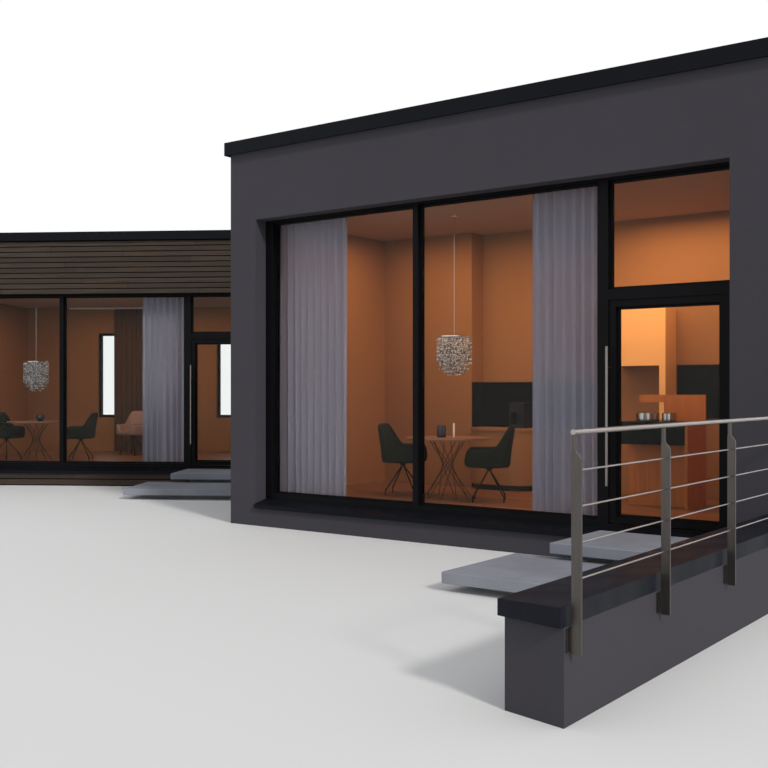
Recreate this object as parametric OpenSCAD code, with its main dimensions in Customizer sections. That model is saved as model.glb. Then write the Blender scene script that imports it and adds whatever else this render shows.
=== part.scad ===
/* [Main block] */
// Width of the main block along its glazed front
block_w = 7200; // [7000:50:8000]
// Depth of the main block from front to back
block_d = 12000; // [11500:100:14000]
// Height of the main block's roof edge above the ground
block_h = 4870; // [4600:10:5400]
// Thickness of the outer walls
wall_t = 365; // [300:5:420]
// Height of the thresholds above the ground
floor_z = 340; // [300:10:420]
// Height of the rooms' ceiling above the ground
ceiling_z = 3900; // [3860:10:4000]
// Thickness of the main block's roof slab
roof_t = 320; // [200:10:400]

/* [Wing] */
// Length of the wing's front from its free corner to the main block
wing_l = 10100; // [9400:100:11000]
// Depth of the wing
wing_d = 4700; // [4400:100:4900]
// Height of the wing's roof edge above the ground
wing_h = 4510; // [4300:10:4600]
// Angle between the wing's front and the main front
bend_deg = 32; // [28:1:34]
// Distance from the main front back to the corner where the wing starts
wing_set_back = 5816; // [5600:10:6000]
// Height of the wing's ceiling above the ground
wing_ceiling_z = 3500; // [3450:10:3600]
// Thickness of the wing's roof slab
wing_roof_t = 280; // [200:10:320]

/* [Cladding] */
// Height of one timber board
board_h = 76; // [60:1:90]
// Gap between two boards
board_gap = 17; // [8:1:25]
// Thickness of a board
board_t = 22; // [18:1:30]

/* [Glazing] */
// Width of the pier left of the main glazing
pier_w = 438; // [400:2:600]
// Width of the pier left of the wing's glazing
wing_pier_w = 450; // [400:5:600]
// Width of the left fixed window
window_left_w = 2317; // [2200:1:2400]
// Width of the middle fixed window
window_mid_w = 2285; // [2200:1:2400]
// Width of the unit that holds the door
door_unit_w = 1369; // [1250:1:1400]
// Height of the main glazing above the threshold
opening_h = 3510; // [3300:10:3510]
// Height of the wing's glazing above the threshold
wing_opening_h = 3080; // [2900:5:3100]
// Depth of the reveal in front of the frames
reveal = 184; // [120:2:190]
// Front width of a mullion on each side of its centre
frame_face = 36; // [30:1:50]
// Front width of the left frame member
jamb_face = 129; // [80:1:140]
// Front width of the door post right of its centre
post_face = 80; // [70:1:90]
// Depth of the frames
frame_depth = 105; // [100:1:115]
// Front height of the head members
head_face = 32; // [26:1:50]
// Front height of the bottom members
foot_face = 55; // [45:1:75]
// Width of the beads that hold the glass
bead_w = 25; // [15:1:30]
// How far the beads sit behind the frames' front
bead_back = 53; // [40:1:55]
// Thickness of the glass
glass_t = 28; // [20:1:32]
// How far the glass sits behind the frame's front
glass_recess = 60; // [58:1:64]
// How far the glass reaches into its rebate
glass_bite = 12; // [8:1:16]

/* [Doors] */
// Width of the jamb beside the door leaf
door_jamb = 66; // [50:1:69]
// Height of the underside of the transom bar above the threshold
transom_z = 2291; // [2150:1:2400]
// Height of the transom bar
transom_face = 90; // [70:1:100]
// Front width of the door leaf's stiles and top rail
leaf_stile = 80; // [65:1:95]
// Front height of the door leaf's bottom rail
leaf_foot = 61; // [55:1:95]
// Thickness of the door leaf
leaf_t = 88; // [80:1:92]
// Gap round the door leaf
leaf_gap = 9; // [8.5:0.5:12]
// Height of the threshold bar
threshold_h = 20; // [15:1:25]
// Length of the bar handle
handle_l = 1400; // [800:50:1700]
// Diameter of the bar handle
handle_dia = 30; // [25:1:36]
// Height of the bar handle's lower end above the threshold
handle_z = 405; // [300:5:700]

/* [Roof edge] */
// Height of the main block's metal roof edge
fascia_h = 166; // [120:2:200]
// Height of the wing's metal roof edge
wing_fascia_h = 150; // [120:2:180]
// How far the roof edge stands out from the wall
fascia_out = 60; // [40:2:90]

/* [Rear windows] */
// Width of a window in the side and rear walls
rear_w = 1200; // [900:10:1600]
// Height of a window in the side and rear walls
rear_h = 1850; // [1200:10:1880]
// Height of those windows' sills above the threshold
rear_sill_z = 760; // [600:10:1000]

/* [Entry slabs] */
// Thickness of the concrete slabs
slab_t = 100; // [80:5:120]
// Depth of the upper slab
slab_upper_d = 1100; // [900:10:1300]
// Length of the upper slab
slab_upper_l = 1658; // [1500:10:1660]
// Depth of the lower slab
slab_lower_d = 1265; // [1000:5:1500]
// Length of the lower slab
slab_lower_l = 2088; // [1900:10:2090]
// Height of a step
step_h = 150; // [140:5:160]

/* [Garden wall] */
// Length of the garden wall from the main front to its end
garden_wall_l = 4889; // [4700:10:5400]
// Thickness of the garden wall
garden_wall_t = 395; // [300:5:400]
// Height of the garden wall under its coping
garden_wall_h = 510; // [450:5:540]
// Angle at which the wall's end is cut
end_skew_deg = 13; // [0:1:20]

/* [Railing] */
// Distance between two railing posts
rail_bay = 1183; // [1100:1:1185]
// Height of the handrail's top above the ground
rail_top_z = 1510; // [1400:5:1600]
// Diameter of the handrail
rail_dia = 28; // [25:1:34]
// Diameter of the rods
rod_dia = 10; // [8:1:12]
// Distance between two rods
rod_pitch = 184; // [170:1:190]
// Depth of a post plate
post_deep = 55; // [45:1:60]
// Thickness of a post plate
post_t = 15; // [10:1:16]

/* [Hidden] */

$fn = 48;
fit = 0.3;              // clearance of parts that seat in each other
past = 1;               // how far a cutting body reaches past what it cuts
joint_w = 4;            // open joint between two lengths of roof edge
board_foot = 20;        // lowest board above the ground
cap_t = 40;             // thickness of the roof edge above the wall
fascia_leg = 25;        // thickness of the roof edge's front leg
inner_lip = 20;         // thickness of the roof edge's inner lip
lip_drop = 70;          // how far the inner lip reaches down
cap_fall = 15;          // fall of the roof edge towards the roof
jamb_right = 50;        // front width of the right member beside the door's upper pane
leaf_thin = 10;         // how much nearer the leaf's glass sits to its front than the frames'
stop_deep = 12;         // depth of the door stop on the frame
stop_gap = 5;           // gap between the stop and the leaf
stop_lap = 8;           // how far the stop laps over the leaf
rebate_end = 2;         // free depth behind the glass in its rebate
frame_low = 14;         // frames' foot below the threshold's height
sill_t = 12;            // thickness of the sill at its front edge
sill_out = 40;          // how far the sill stands out from the wall
sill_front = 48;        // height of the sill's front face
sill_fall = 54;         // fall of the sill
rear_sill_fall = 12;    // fall of the side and rear windows' sills
pin_dia = 20;           // diameter of the hinge barrels
pin_l = 110;            // length of a hinge barrel
barrel_at = [0.1, 0.5, 0.9];          // middles of the barrels, as shares of the leaf's height
flap_w = 45;            // width of a hinge's flap on the leaf
flap_t = 8;             // thickness of that flap
handle_off = 70;        // free space behind the bar handle
handle_inset = 22;      // handle axis from the leaf's free edge
post_pin_dia = 16;      // diameter of the handle's two supports
support_at = [0.15, 0.85];            // their places, as shares of the handle's length
finish_t = 20;          // thickness of the floor boards
slab_drop = 20;         // upper slab below the threshold
slab_shift = 81;        // wing's upper slab right of the door unit's left edge
slab_side = 9;          // joint between the slabs and the garden wall
slab_edge = 6;          // chamfer on the slabs' edges
slab_lap = 133;         // how far the upper slab laps over the lower
footing_inset = 250;    // footings behind the slabs' edges
coping_side = 25;       // wall coping beyond the wall's inner face
coping_end = 40;        // wall coping beyond the wall's end
coping_t = 107;         // thickness of the wall coping on its outer edge
coping_fall = 17;       // fall of the wall coping
post_first = 53;        // first post from the wall's end
post_stand = 18;        // post plate in front of the wall
post_clear = 8;         // part of that space in front of the base plate
base_w = 70;            // width of a base plate
base_h = 120;           // height of a base plate
base_drop = 10;         // base plate below the wall coping
post_count = 5;         // posts of the railing
post_foot = 140;        // post plate below the wall coping
neck_dia = 26;          // diameter of the post's round neck
neck_z = 1396;          // where the neck starts
shoulder = 38;          // height of the post's sloping shoulder
rod_first = 133;        // lowest rod above the wall coping
rod_count = 4;          // rods between two posts
side_window_at = [5000, 8900];        // window centres from the front corner
back_window_at = [2300, 4900];        // window centres from the left in the back wall
wing_window_at = [2550, 5200, 8200];  // window centres from the wing's free end
rear_sill_t = 18;       // height of those windows' sill nosing
partition_t = 120;      // thickness of the inner walls
nook_y = 2840;          // face of the inner wall beside the table
nook_end = 1868;        // right end of that wall
kitchen_y = 3150;       // face of the wall behind the kitchen
curtain_t = 90;         // depth of a gathered curtain
curtain_off = 60;       // curtains behind the wall's inner face
curtain_drop = 30;      // curtain heads below the ceiling
curtain_clear = 5;      // curtain hems above the floor
curtain_rail_w = 40;    // width of a curtain rail
curtain_left = [375, 1540];           // ends of the main room's left curtain
curtain_right = [4100, 4880];         // ends of the main room's right curtain
curtain_wing = [4165, 5090];          // ends of the wing's front curtain
curtain_rear = [2350, 3250];          // ends of the wing's rear curtain
table_at = [2385, 1430];              // table in the main room
wing_table_at = [1850, 1250];         // table in the wing
lamp_at = [2485, 1430];               // chandelier in the main room
table_dia = 1060;       // diameter of a table top
table_h = 750;          // height of a table
table_top_t = 25;       // thickness of a table top
wire_dia = 9;           // diameter of a table's wires
wire_count = 10;        // wires under a table
wire_top_r = 235;       // radius of the wires' ring under the top
wire_foot_r = 300;      // radius of the wires' ring on the floor
wire_twist = 150;       // turn of each wire between the floor and the top
left_chair = [-665, -30, -68];        // chairs beside the main table: place and turn
right_chair = [660, -90, 118];
wing_chair = [790, 220, 100];         // chairs beside the wing's table
wing_far_chair = [-700, 260, -110];
pale_chair = [1290, 1850, 160];
chair_w = 600;          // width of a chair
chair_front = 300;      // front of a chair's arms from its axis
chair_foot_y = -255;    // rear end of the shell's underside
chair_bend_y = -70;     // where the arms bend up to the back
chair_back_y = -196;    // front of the back at its top
chair_top_y = -318;     // rear of the back at its top
chair_waist_y = -286;   // rear of the back at the arms' height
chair_arm_z = 640;      // height of a chair's arms
chair_back_z = 910;     // height of a chair's back
chair_ease = 14;        // cut of the shell's upper corners
chair_round_at = 0.2;   // start of the round back behind the axis, as a share of half the width
chair_round = 1.16;     // depth of the round back as a share of half the width
chair_seat_z = 490;     // height of a chair's seat
chair_under_z = 412;    // underside of a chair's shell
chair_pad = 62;         // thickness of a chair's sides
leg_dia = 18;           // diameter of a chair's legs
leg_knee_r = 262;       // distance of the legs' knees from the chair's axis
leg_knee_z = 62;        // height of the legs' knees
leg_sides = 16;         // flat faces round a leg
hub_dia = 90;           // diameter of the hub that carries the legs
hub_h = 30;             // height of that hub
hub_lap = 8;            // where the legs' axes meet, above the hub's underside
drum_dia = 457;         // diameter of the main chandelier
drum_h = 500;           // height of the main chandelier's drum
drum_z = 1881;          // underside of that drum above the ground
wing_drum_dia = 480;    // diameter of the wing's chandelier
wing_drum_h = 575;      // height of the wing's drum
wing_drum_z = 1675;     // underside of the wing's drum above the ground
hoop_t = 8;             // thickness of a chandelier's hoops
stem_dia = 12;          // diameter of a chandelier's stem
drum_draw = 0.4;        // width of a drum's foot as a share of its width above
drum_taper = 0.28;      // share of a drum's height that draws in
drum_belly = 0.84;      // width of a drum halfway down that part
rose_dia = 120;         // diameter of the ceiling rose
rose_t = 25;            // height of the ceiling rose
island_at = [4530, 1800];             // front left corner of the island
island_size = [810, 600, 980];        // size of the island
island_band_z = 720;    // underside of the island's dark top
island_board = 30;      // thickness of the island's boards
island_recess = 260;    // knee space in the island's front
island_raise = 310;     // height of the raised board over the island
island_raise_x = 310;   // left end of the raised board's full height
island_bridge = 90;     // height of the raised board left of there
unit_l = 1067;          // length of the base unit
unit_d = 600;           // depth of the base unit
unit_h = 795;           // height of the base unit under its top
unit_top_t = 35;        // thickness of the base unit's top
unit_top_out = 15;      // overhang of the base unit's top
unit_round = 350;       // radius of the base unit's front corners
plinth_h = 75;          // height of the plinth
plinth_in = 50;         // plinth behind the unit's front
wall_unit_at = 3970;    // left end of the wall unit
wall_unit_size = [717, 350, 710];     // size of the wall unit
wall_unit_z = 1650;     // underside of the wall unit above the floor
side_board = 80;        // thickness of the board that carries the wall unit
splash_t = 20;          // thickness of the dark wall panels
splash_a = [1722, 626]; // panels in the kitchen's left corner: length and height
splash_b = [4707, 563, 660];          // right panel: place, length and height
splash_b_z = 1000;      // underside of the right panel above the floor
maker_at = [2490, 2790];              // front left corner of the coffee maker
maker_size = [230, 290, 340];         // its size
maker_cup = [170, 150, 160];          // space for the cup in its front
maker_base = 55;        // height of the plate under the cup
vase = [118, 150, 5];   // vase on the table: width, height and wall
vase_at = [-77, -20];   // its place from the table's centre
candle = [24, 185];     // candle: width and height
candle_at = [68, 40];   // its place from the table's centre
jar_a = [270, 100, 5];  // jars on the island: width, height and wall
jar_a_at = [220, 300];
jar_b = [165, 100, 5];
jar_b_at = [480, 300];
bowl = [170, 120, 6];   // bowl on the wing's table
bowl_at = [60, 60];

frame_colour = [0.07, 0.07, 0.08];
glass_colour = [0.6, 0.7, 0.75, 0.3];
edge_colour = [0.08, 0.08, 0.09];
board_colour = [0.45, 0.32, 0.2];

opening_w = window_left_w + window_mid_w + door_unit_w;
wing_back_l = wing_l + wing_d * tan(bend_deg);
slab_end_x = block_w - garden_wall_t - slab_side;
wing_slab_end_x = wing_pier_w + window_left_w + window_mid_w + slab_shift + slab_upper_l;
room_z = floor_z + finish_t;
skew = tan(bend_deg);
leaf_z = floor_z + threshold_h + leaf_gap;
leaf_h = transom_z - threshold_h - 2 * leaf_gap;
leaf_w = door_unit_w - 2 * door_jamb - 2 * leaf_gap;
leaf_y = reveal + stop_deep + stop_gap;
hinge_y = max(leaf_y + leaf_t, reveal + frame_depth) + pin_dia / 2;
frame_z = floor_z - frame_low;
sill_foot = frame_z - sill_fall - sill_front;
sill_bed = frame_z - sill_fall - sill_t;
board_pitch = board_h + board_gap;
coping_z = garden_wall_h;
wall_x = block_w / 2;
front_y = -block_d / 2;
garden_end = front_y - garden_wall_l;
rail_x = wall_x + post_stand + neck_dia / 2;
upper_z = floor_z - slab_drop - slab_t;
lower_z = upper_z - step_h;

function post_y(i) = garden_end + post_first + i * rail_bay;
function skew_x(x, y) = x + y * skew - fit / cos(bend_deg);

// Places a facade drawn from its left corner, looking along +Y, on the main front
module at_main() {
    translate([-block_w / 2, front_y, 0])
        children();
}

// The same for the wing, whose right end meets the main block's left wall
module at_wing() {
    translate([-block_w / 2, front_y + wing_set_back, 0])
        rotate([0, 0, bend_deg])
            translate([-wing_l, 0, 0])
                children();
}

// A profile drawn in Y and Z, carried along X
module along_x(l) {
    rotate([90, 0, 90])
        linear_extrude(l)
            children();
}

// A box given by its two corners
module span(a, b) {
    translate(a)
        cube(b - a);
}

// A plan outline between two heights
module plan(points, z0, z1) {
    translate([0, 0, z0])
        linear_extrude(z1 - z0)
            polygon(points);
}

// A length of metal roof edge for a wall of length l, with a mitre or a butt end
module edge_strip(l, h, face, left_cut, right_cut) {
    back = wall_t + inner_lip;
    gap = joint_w / 2;
    intersection() {
        translate([-fascia_out, 0, 0])
            along_x(l + 2 * fascia_out + back)
                polygon([
                    [-fascia_out, h - face],
                    [-fascia_out + fascia_leg, h - face],
                    [-fascia_out + fascia_leg, h - cap_t],
                    [wall_t, h - cap_t],
                    [wall_t, h - lip_drop],
                    [back, h - lip_drop],
                    [back, h - cap_fall],
                    [-fascia_out, h]
                ]);
        plan([
            [gap - fascia_out * left_cut, -fascia_out],
            [l - gap + fascia_out * right_cut, -fascia_out],
            [l - gap - back * right_cut, back],
            [gap + back * left_cut, back]
        ], h - face - past, h + past);
    }
}

// Front outlines of a glazed front's three panes: left, right, foot and top of each
function lights(x0, h) = [
    [x0 + jamb_face, x0 + window_left_w - frame_face, floor_z + foot_face, floor_z + h - head_face],
    [x0 + window_left_w + frame_face, x0 + window_left_w + window_mid_w - frame_face,
        floor_z + foot_face, floor_z + h - head_face],
    [x0 + window_left_w + window_mid_w + post_face, x0 + opening_w - jamb_right,
        floor_z + transom_z + transom_face, floor_z + h - head_face]
];

// A pane's outline drawn in by a margin, between two depths
module light(s, in, y0, y1) {
    span([s[0] + in, y0, s[2] + in], [s[1] - in, y1, s[3] - in]);
}

// The space that the panes leave in a glazed front: wide in front, beads behind, rebates
module light_cuts(x0, h) {
    bite = bead_w - glass_bite - rebate_end;
    for (s = lights(x0, h)) {
        light(s, 0, reveal - past, reveal + bead_back);
        light(s, bead_w, reveal - past, reveal + frame_depth + past);
        light(s, bite, reveal + glass_recess - fit, reveal + glass_recess + glass_t + fit);
    }
}

// Upright members of a glazed front: stile, mullion, door post and door jamb
module posts(x0, h) {
    top = floor_z + h;
    x1 = x0 + window_left_w;
    x2 = x1 + window_mid_w;
    x3 = x2 + door_unit_w;
    bar_z = floor_z + transom_z;
    back = reveal + frame_depth;
    difference() {
        union() {
            span([x0, reveal, frame_z], [x0 + jamb_face + bead_w, back, top]);
            span([x1 - frame_face - bead_w, reveal, frame_z], [x1 + frame_face + bead_w, back, top]);
            span([x2 - frame_face - bead_w, reveal, frame_z], [x2 + door_jamb, back, top]);
            span([x2 + door_jamb, reveal, bar_z], [x2 + post_face + bead_w, back, top]);
            span([x3 - door_jamb, reveal, frame_z], [x3, back, top]);
            span([x3 - jamb_right - bead_w, reveal, bar_z], [x3 - door_jamb, back, top]);
            span([x2 + door_jamb, reveal, floor_z + threshold_h],
                [x2 + door_jamb + leaf_gap + stop_lap, reveal + stop_deep, bar_z]);
            span([x3 - door_jamb - leaf_gap - stop_lap, reveal, floor_z + threshold_h],
                [x3 - door_jamb, reveal + stop_deep, bar_z]);
        }
        light_cuts(x0, h);
    }
}

// Level members of a glazed front, between the uprights
module rails(x0, h) {
    top = floor_z + h;
    x1 = x0 + window_left_w;
    x2 = x1 + window_mid_w;
    x3 = x2 + door_unit_w;
    back = reveal + frame_depth;
    bar_z = floor_z + transom_z;
    u0 = x0 + jamb_face + bead_w;
    u1 = x1 - frame_face - bead_w;
    u2 = x1 + frame_face + bead_w;
    u3 = x2 - frame_face - bead_w;
    u4 = x2 + post_face + bead_w;
    u5 = x3 - jamb_right - bead_w;
    difference() {
        union() {
            for (u = [[u0, u1], [u2, u3]])
                span([u[0], reveal, frame_z], [u[1], back, floor_z + foot_face + bead_w]);
            for (u = [[u0, u1], [u2, u3], [u4, u5]])
                span([u[0], reveal, top - head_face - bead_w], [u[1], back, top]);
            span([u4, reveal, bar_z], [u5, back, bar_z + transom_face + bead_w]);
            span([x2 + door_jamb + leaf_gap + stop_lap, reveal, bar_z - leaf_gap - stop_lap],
                [x3 - door_jamb - leaf_gap - stop_lap, reveal + stop_deep, bar_z]);
        }
        light_cuts(x0, h);
    }
    span([x2 + door_jamb, reveal, frame_z], [x3 - door_jamb, back, floor_z + threshold_h]);
}

// Fixed panes of a glazed front
module panes(x0, h) {
    y0 = reveal + glass_recess;
    for (s = lights(x0, h))
        light(s, bead_w - glass_bite, y0, y0 + glass_t);
}

// Sloping metal sill with a front face below a glazed front
module sill(x0) {
    translate([x0, 0, 0])
        along_x(opening_w)
            polygon([
                [-sill_out, sill_foot],
                [0, sill_foot],
                [0, sill_bed],
                [reveal + frame_depth, sill_bed],
                [reveal + frame_depth, frame_z],
                [reveal, frame_z],
                [-sill_out, frame_z - sill_fall]
            ]);
}

// Door leaf frame with its three hinge barrels
module leaf(x0) {
    lx = x0 + window_left_w + window_mid_w + door_jamb + leaf_gap;
    s = [lx + leaf_stile, lx + leaf_w - leaf_stile, leaf_z + leaf_foot, leaf_z + leaf_h - leaf_stile];
    g0 = leaf_y + glass_recess - leaf_thin;
    difference() {
        span([lx, leaf_y, leaf_z], [lx + leaf_w, leaf_y + leaf_t, leaf_z + leaf_h]);
        light(s, 0, leaf_y - past, leaf_y + bead_back - leaf_thin);
        light(s, bead_w, leaf_y - past, leaf_y + leaf_t + past);
        light(s, bead_w - glass_bite - rebate_end, g0 - fit, g0 + glass_t + fit);
    }
    for (z = barrel_at) {
        translate([lx + leaf_w + leaf_gap / 2, hinge_y, leaf_z + leaf_h * z - pin_l / 2])
            cylinder(d = pin_dia, h = pin_l);
        span([lx + leaf_w - flap_w, leaf_y + leaf_t, leaf_z + leaf_h * z - pin_l / 2],
            [lx + leaf_w, hinge_y - pin_dia / 2 + flap_t, leaf_z + leaf_h * z + pin_l / 2]);
    }
}

// Pane of a door leaf
module leaf_pane(x0) {
    lx = x0 + window_left_w + window_mid_w + door_jamb + leaf_gap;
    s = [lx + leaf_stile, lx + leaf_w - leaf_stile, leaf_z + leaf_foot, leaf_z + leaf_h - leaf_stile];
    y0 = leaf_y + glass_recess - leaf_thin;
    light(s, bead_w - glass_bite, y0, y0 + glass_t);
}

// Upright bar handle on two supports
module bar_handle(x0) {
    lx = x0 + window_left_w + window_mid_w + door_jamb + leaf_gap + handle_inset;
    axis_y = leaf_y - handle_off - handle_dia / 2;
    translate([lx, axis_y, floor_z + handle_z])
        cylinder(d = handle_dia, h = handle_l);
    for (z = support_at)
        translate([lx, leaf_y, floor_z + handle_z + handle_l * z])
            rotate([90, 0, 0])
                cylinder(d = post_pin_dia, h = handle_off + handle_dia / 2);
}

// A slab with chamfered edges between two corners, its foot on the first corner
module slab_block(a, b) {
    l = b[0] - a[0];
    d = b[1] - a[1];
    translate(a)
        intersection() {
            along_x(l)
                chamfered(d, slab_t, slab_edge);
            translate([0, d, 0])
                rotate([90, 0, 0])
                    linear_extrude(d)
                        chamfered(l, slab_t, slab_edge);
        }
}

// A rectangle with its four corners cut
module chamfered(w, h, c) {
    polygon([
        [c, 0], [w - c, 0], [w, c], [w, h - c],
        [w - c, h], [c, h], [0, h - c], [0, c]
    ]);
}

// Two concrete slabs in front of a door, drawn from their right ends
module slabs(x1) {
    y1 = -slab_upper_d + slab_lap;
    slab_block([x1 - slab_upper_l, -slab_upper_d, upper_z], [x1, -sill_out, upper_z]);
    slab_block([x1 - slab_lower_l, y1 - slab_lower_d, lower_z], [x1, y1, lower_z]);
}

// Set back footings that carry the slabs
module footings(x1) {
    y1 = -slab_upper_d + slab_lap;
    front = -slab_upper_d + footing_inset;
    in = footing_inset;
    span([x1 - slab_upper_l + in, front, 0], [x1 - in, -sill_out, upper_z]);
    span([x1 - slab_lower_l + in, y1 - slab_lower_d + in, 0], [x1 - in, front, lower_z]);
}

// Children at the lower left corner of each side and rear window, seen from outside
module at_rear_windows() {
    at_main() {
        translate([block_w, 0, 0])
            rotate([0, 0, 90])
                for (x = side_window_at)
                    translate([x - rear_w / 2, 0, floor_z + rear_sill_z])
                        children();
        translate([block_w, block_d, 0])
            rotate([0, 0, 180])
                for (x = back_window_at)
                    translate([x - rear_w / 2, 0, floor_z + rear_sill_z])
                        children();
    }
    at_wing()
        translate([wing_back_l, wing_d, 0])
            rotate([0, 0, 180])
                for (x = wing_window_at)
                    translate([wing_back_l - x - rear_w / 2, 0, floor_z + rear_sill_z])
                        children();
}

// The space that such a window takes in its wall, with a margin all round
module rear_window_cuts(margin) {
    at_rear_windows()
        span([-margin, -past, -margin], [rear_w + margin, wall_t + past, rear_h + margin]);
}

// Front outline of such a window's pane
function rear_light() = [frame_face, rear_w - frame_face, frame_face, rear_h - head_face];

// Frame of such a window, rebated for its glass, with the sill under it
module rear_frame() {
    back = reveal + frame_depth;
    s = rear_light();
    difference() {
        span([0, reveal, 0], [rear_w, back, rear_h]);
        light(s, 0, reveal - past, reveal + bead_back);
        light(s, bead_w, reveal - past, back + past);
        light(s, bead_w - glass_bite - rebate_end, reveal + glass_recess - fit,
            reveal + glass_recess + glass_t + fit);
    }
    along_x(rear_w)
        polygon([
            [-sill_out, -rear_sill_t],
            [0, -rear_sill_t],
            [0, 0],
            [reveal, 0],
            [reveal, rear_sill_t],
            [-sill_out, rear_sill_t - rear_sill_fall]
        ]);
}

module floor_slab() {
    color("darkgray")
        at_main()
            span([wall_t, wall_t, 0], [block_w - wall_t, block_d - wall_t, floor_z]);
}

module front_left_pier() {
    color("dimgray")
        at_main()
            span([0, 0, 0], [pier_w, wall_t, block_h - cap_t]);
}

module front_right_pier() {
    color("dimgray")
        at_main()
            span([pier_w + opening_w, 0, 0], [block_w, wall_t, block_h - cap_t]);
}

module front_header() {
    color("dimgray")
        at_main()
            span([pier_w, 0, floor_z + opening_h], [pier_w + opening_w, wall_t, block_h - cap_t]);
}

// Low wall under a glazed front: bed of the sill, and the threshold behind it
module plinth(x0, y0) {
    translate([x0, 0, 0])
        along_x(opening_w)
            polygon([
                [y0, 0],
                [wall_t, 0],
                [wall_t, floor_z],
                [reveal + frame_depth + fit, floor_z],
                [reveal + frame_depth + fit, sill_bed],
                [y0, sill_bed]
            ]);
}

module front_plinth() {
    color("dimgray")
        at_main()
            plinth(pier_w, 0);
}

module left_wall() {
    color("dimgray")
        at_main()
            span([0, wall_t, 0], [wall_t, block_d - wall_t, block_h - cap_t]);
}

module right_wall() {
    color("dimgray")
        difference() {
            at_main()
                span([block_w - wall_t, wall_t, 0], [block_w, block_d - wall_t, block_h - cap_t]);
            rear_window_cuts(0);
        }
}

module back_wall() {
    color("dimgray")
        difference() {
            at_main()
                span([0, block_d - wall_t, 0], [block_w, block_d, block_h - cap_t]);
            rear_window_cuts(0);
        }
}

module roof_slab() {
    color("gray")
        at_main()
            span([wall_t, wall_t, ceiling_z], [block_w - wall_t, block_d - wall_t, ceiling_z + roof_t]);
}

module roof_coping() {
    color(edge_colour)
        at_main() {
            edge_strip(block_w, block_h, fascia_h, 1, 1);
            translate([block_w, 0, 0])
                rotate([0, 0, 90])
                    edge_strip(block_d, block_h, fascia_h, 1, 1);
            translate([block_w, block_d, 0])
                rotate([0, 0, 180])
                    edge_strip(block_w, block_h, fascia_h, 1, 1);
            translate([0, block_d, 0])
                rotate([0, 0, 270])
                    edge_strip(block_d, block_h, fascia_h, 1, 1);
        }
}

module window_posts() {
    color(frame_colour)
        at_main()
            posts(pier_w, opening_h);
}

module window_rails() {
    color(frame_colour)
        at_main()
            rails(pier_w, opening_h);
}

module window_glass() {
    color(glass_colour)
        at_main()
            panes(pier_w, opening_h);
}

module window_sill() {
    color(frame_colour)
        at_main()
            sill(pier_w);
}

module door_leaf() {
    color(frame_colour)
        at_main()
            leaf(pier_w);
}

module door_glass() {
    color(glass_colour)
        at_main()
            leaf_pane(pier_w);
}

module door_handle() {
    color("silver")
        at_main()
            bar_handle(pier_w);
}

module entry_slabs() {
    color("lightgray") {
        at_main()
            slabs(slab_end_x);
        at_wing()
            slabs(wing_slab_end_x);
    }
}

module slab_footings() {
    color("gray") {
        at_main()
            footings(slab_end_x);
        at_wing()
            footings(wing_slab_end_x);
    }
}

module garden_wall() {
    cut = garden_wall_t * tan(end_skew_deg);
    color("dimgray")
        plan([
            [wall_x - garden_wall_t, front_y],
            [wall_x - garden_wall_t, garden_end + cut],
            [wall_x, garden_end],
            [wall_x, front_y]
        ], 0, garden_wall_h);
}

module garden_wall_coping() {
    w = garden_wall_t + coping_side;
    cut = w * tan(end_skew_deg);
    color([0.1, 0.1, 0.12])
        intersection() {
            translate([wall_x - w, front_y, coping_z])
                rotate([90, 0, 0])
                    linear_extrude(garden_wall_l + coping_end)
                        polygon([
                            [0, 0],
                            [w, 0],
                            [w, coping_t],
                            [0, coping_t - coping_fall]
                        ]);
            plan([
                [wall_x - w, front_y],
                [wall_x - w, garden_end - coping_end + cut],
                [wall_x, garden_end - coping_end],
                [wall_x, front_y]
            ], coping_z - past, coping_z + coping_t + past);
        }
}

// Round bar along the garden wall, from y over a length
module handrail_bar(y, l) {
    translate([rail_x, y, rail_top_z - rail_dia / 2])
        rotate([-90, 0, 0])
            cylinder(d = rail_dia, h = l);
}

// Flat post with a sloping shoulder, a round neck and a base plate on the wall
module rail_post() {
    in = post_clear;
    base_top = garden_wall_h - base_drop;
    base_foot = base_top - base_h;
    foot = garden_wall_h - post_foot;
    translate([wall_x, post_t / 2, 0])
        rotate([90, 0, 0])
            linear_extrude(post_t)
                polygon([
                    [post_stand - in, base_foot],
                    [post_stand - in, base_top],
                    [post_stand, base_top],
                    [post_stand, neck_z],
                    [post_stand + neck_dia, neck_z],
                    [post_stand + post_deep, neck_z - shoulder],
                    [post_stand + post_deep, foot],
                    [post_stand, foot],
                    [post_stand, base_foot]
                ]);
    difference() {
        translate([rail_x, 0, neck_z])
            cylinder(d = neck_dia, h = rail_top_z - rail_dia / 2 - neck_z);
        handrail_bar(-base_w, 2 * base_w);
    }
    span([wall_x, -base_w / 2, base_foot], [wall_x + post_stand - in, base_w / 2, base_top]);
}

module rail_posts() {
    color("silver")
        for (i = [0 : post_count - 1])
            translate([0, post_y(i), 0])
                rail_post();
}

module handrail() {
    color("silver")
        handrail_bar(post_y(0) - neck_dia / 2, (post_count - 1) * rail_bay + neck_dia);
}

module rail_rods() {
    z0 = garden_wall_h + coping_t + rod_first;
    color("silver")
        for (i = [0 : post_count - 2])
            for (k = [0 : rod_count - 1])
                translate([wall_x + post_stand + post_deep / 2, post_y(i) + post_t / 2, z0 + k * rod_pitch])
                    rotate([-90, 0, 0])
                        cylinder(d = rod_dia, h = rail_bay - post_t);
}

module wing_floor_slab() {
    color("darkgray")
        at_wing()
            plan([
                [wall_t, wall_t],
                [skew_x(wing_l, wall_t), wall_t],
                [skew_x(wing_l, wing_d - wall_t), wing_d - wall_t],
                [wall_t, wing_d - wall_t]
            ], 0, floor_z);
}

module wing_left_pier() {
    color("dimgray")
        at_wing()
            span([board_t, board_t, 0], [wing_pier_w, wall_t, wing_h - cap_t]);
}

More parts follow.
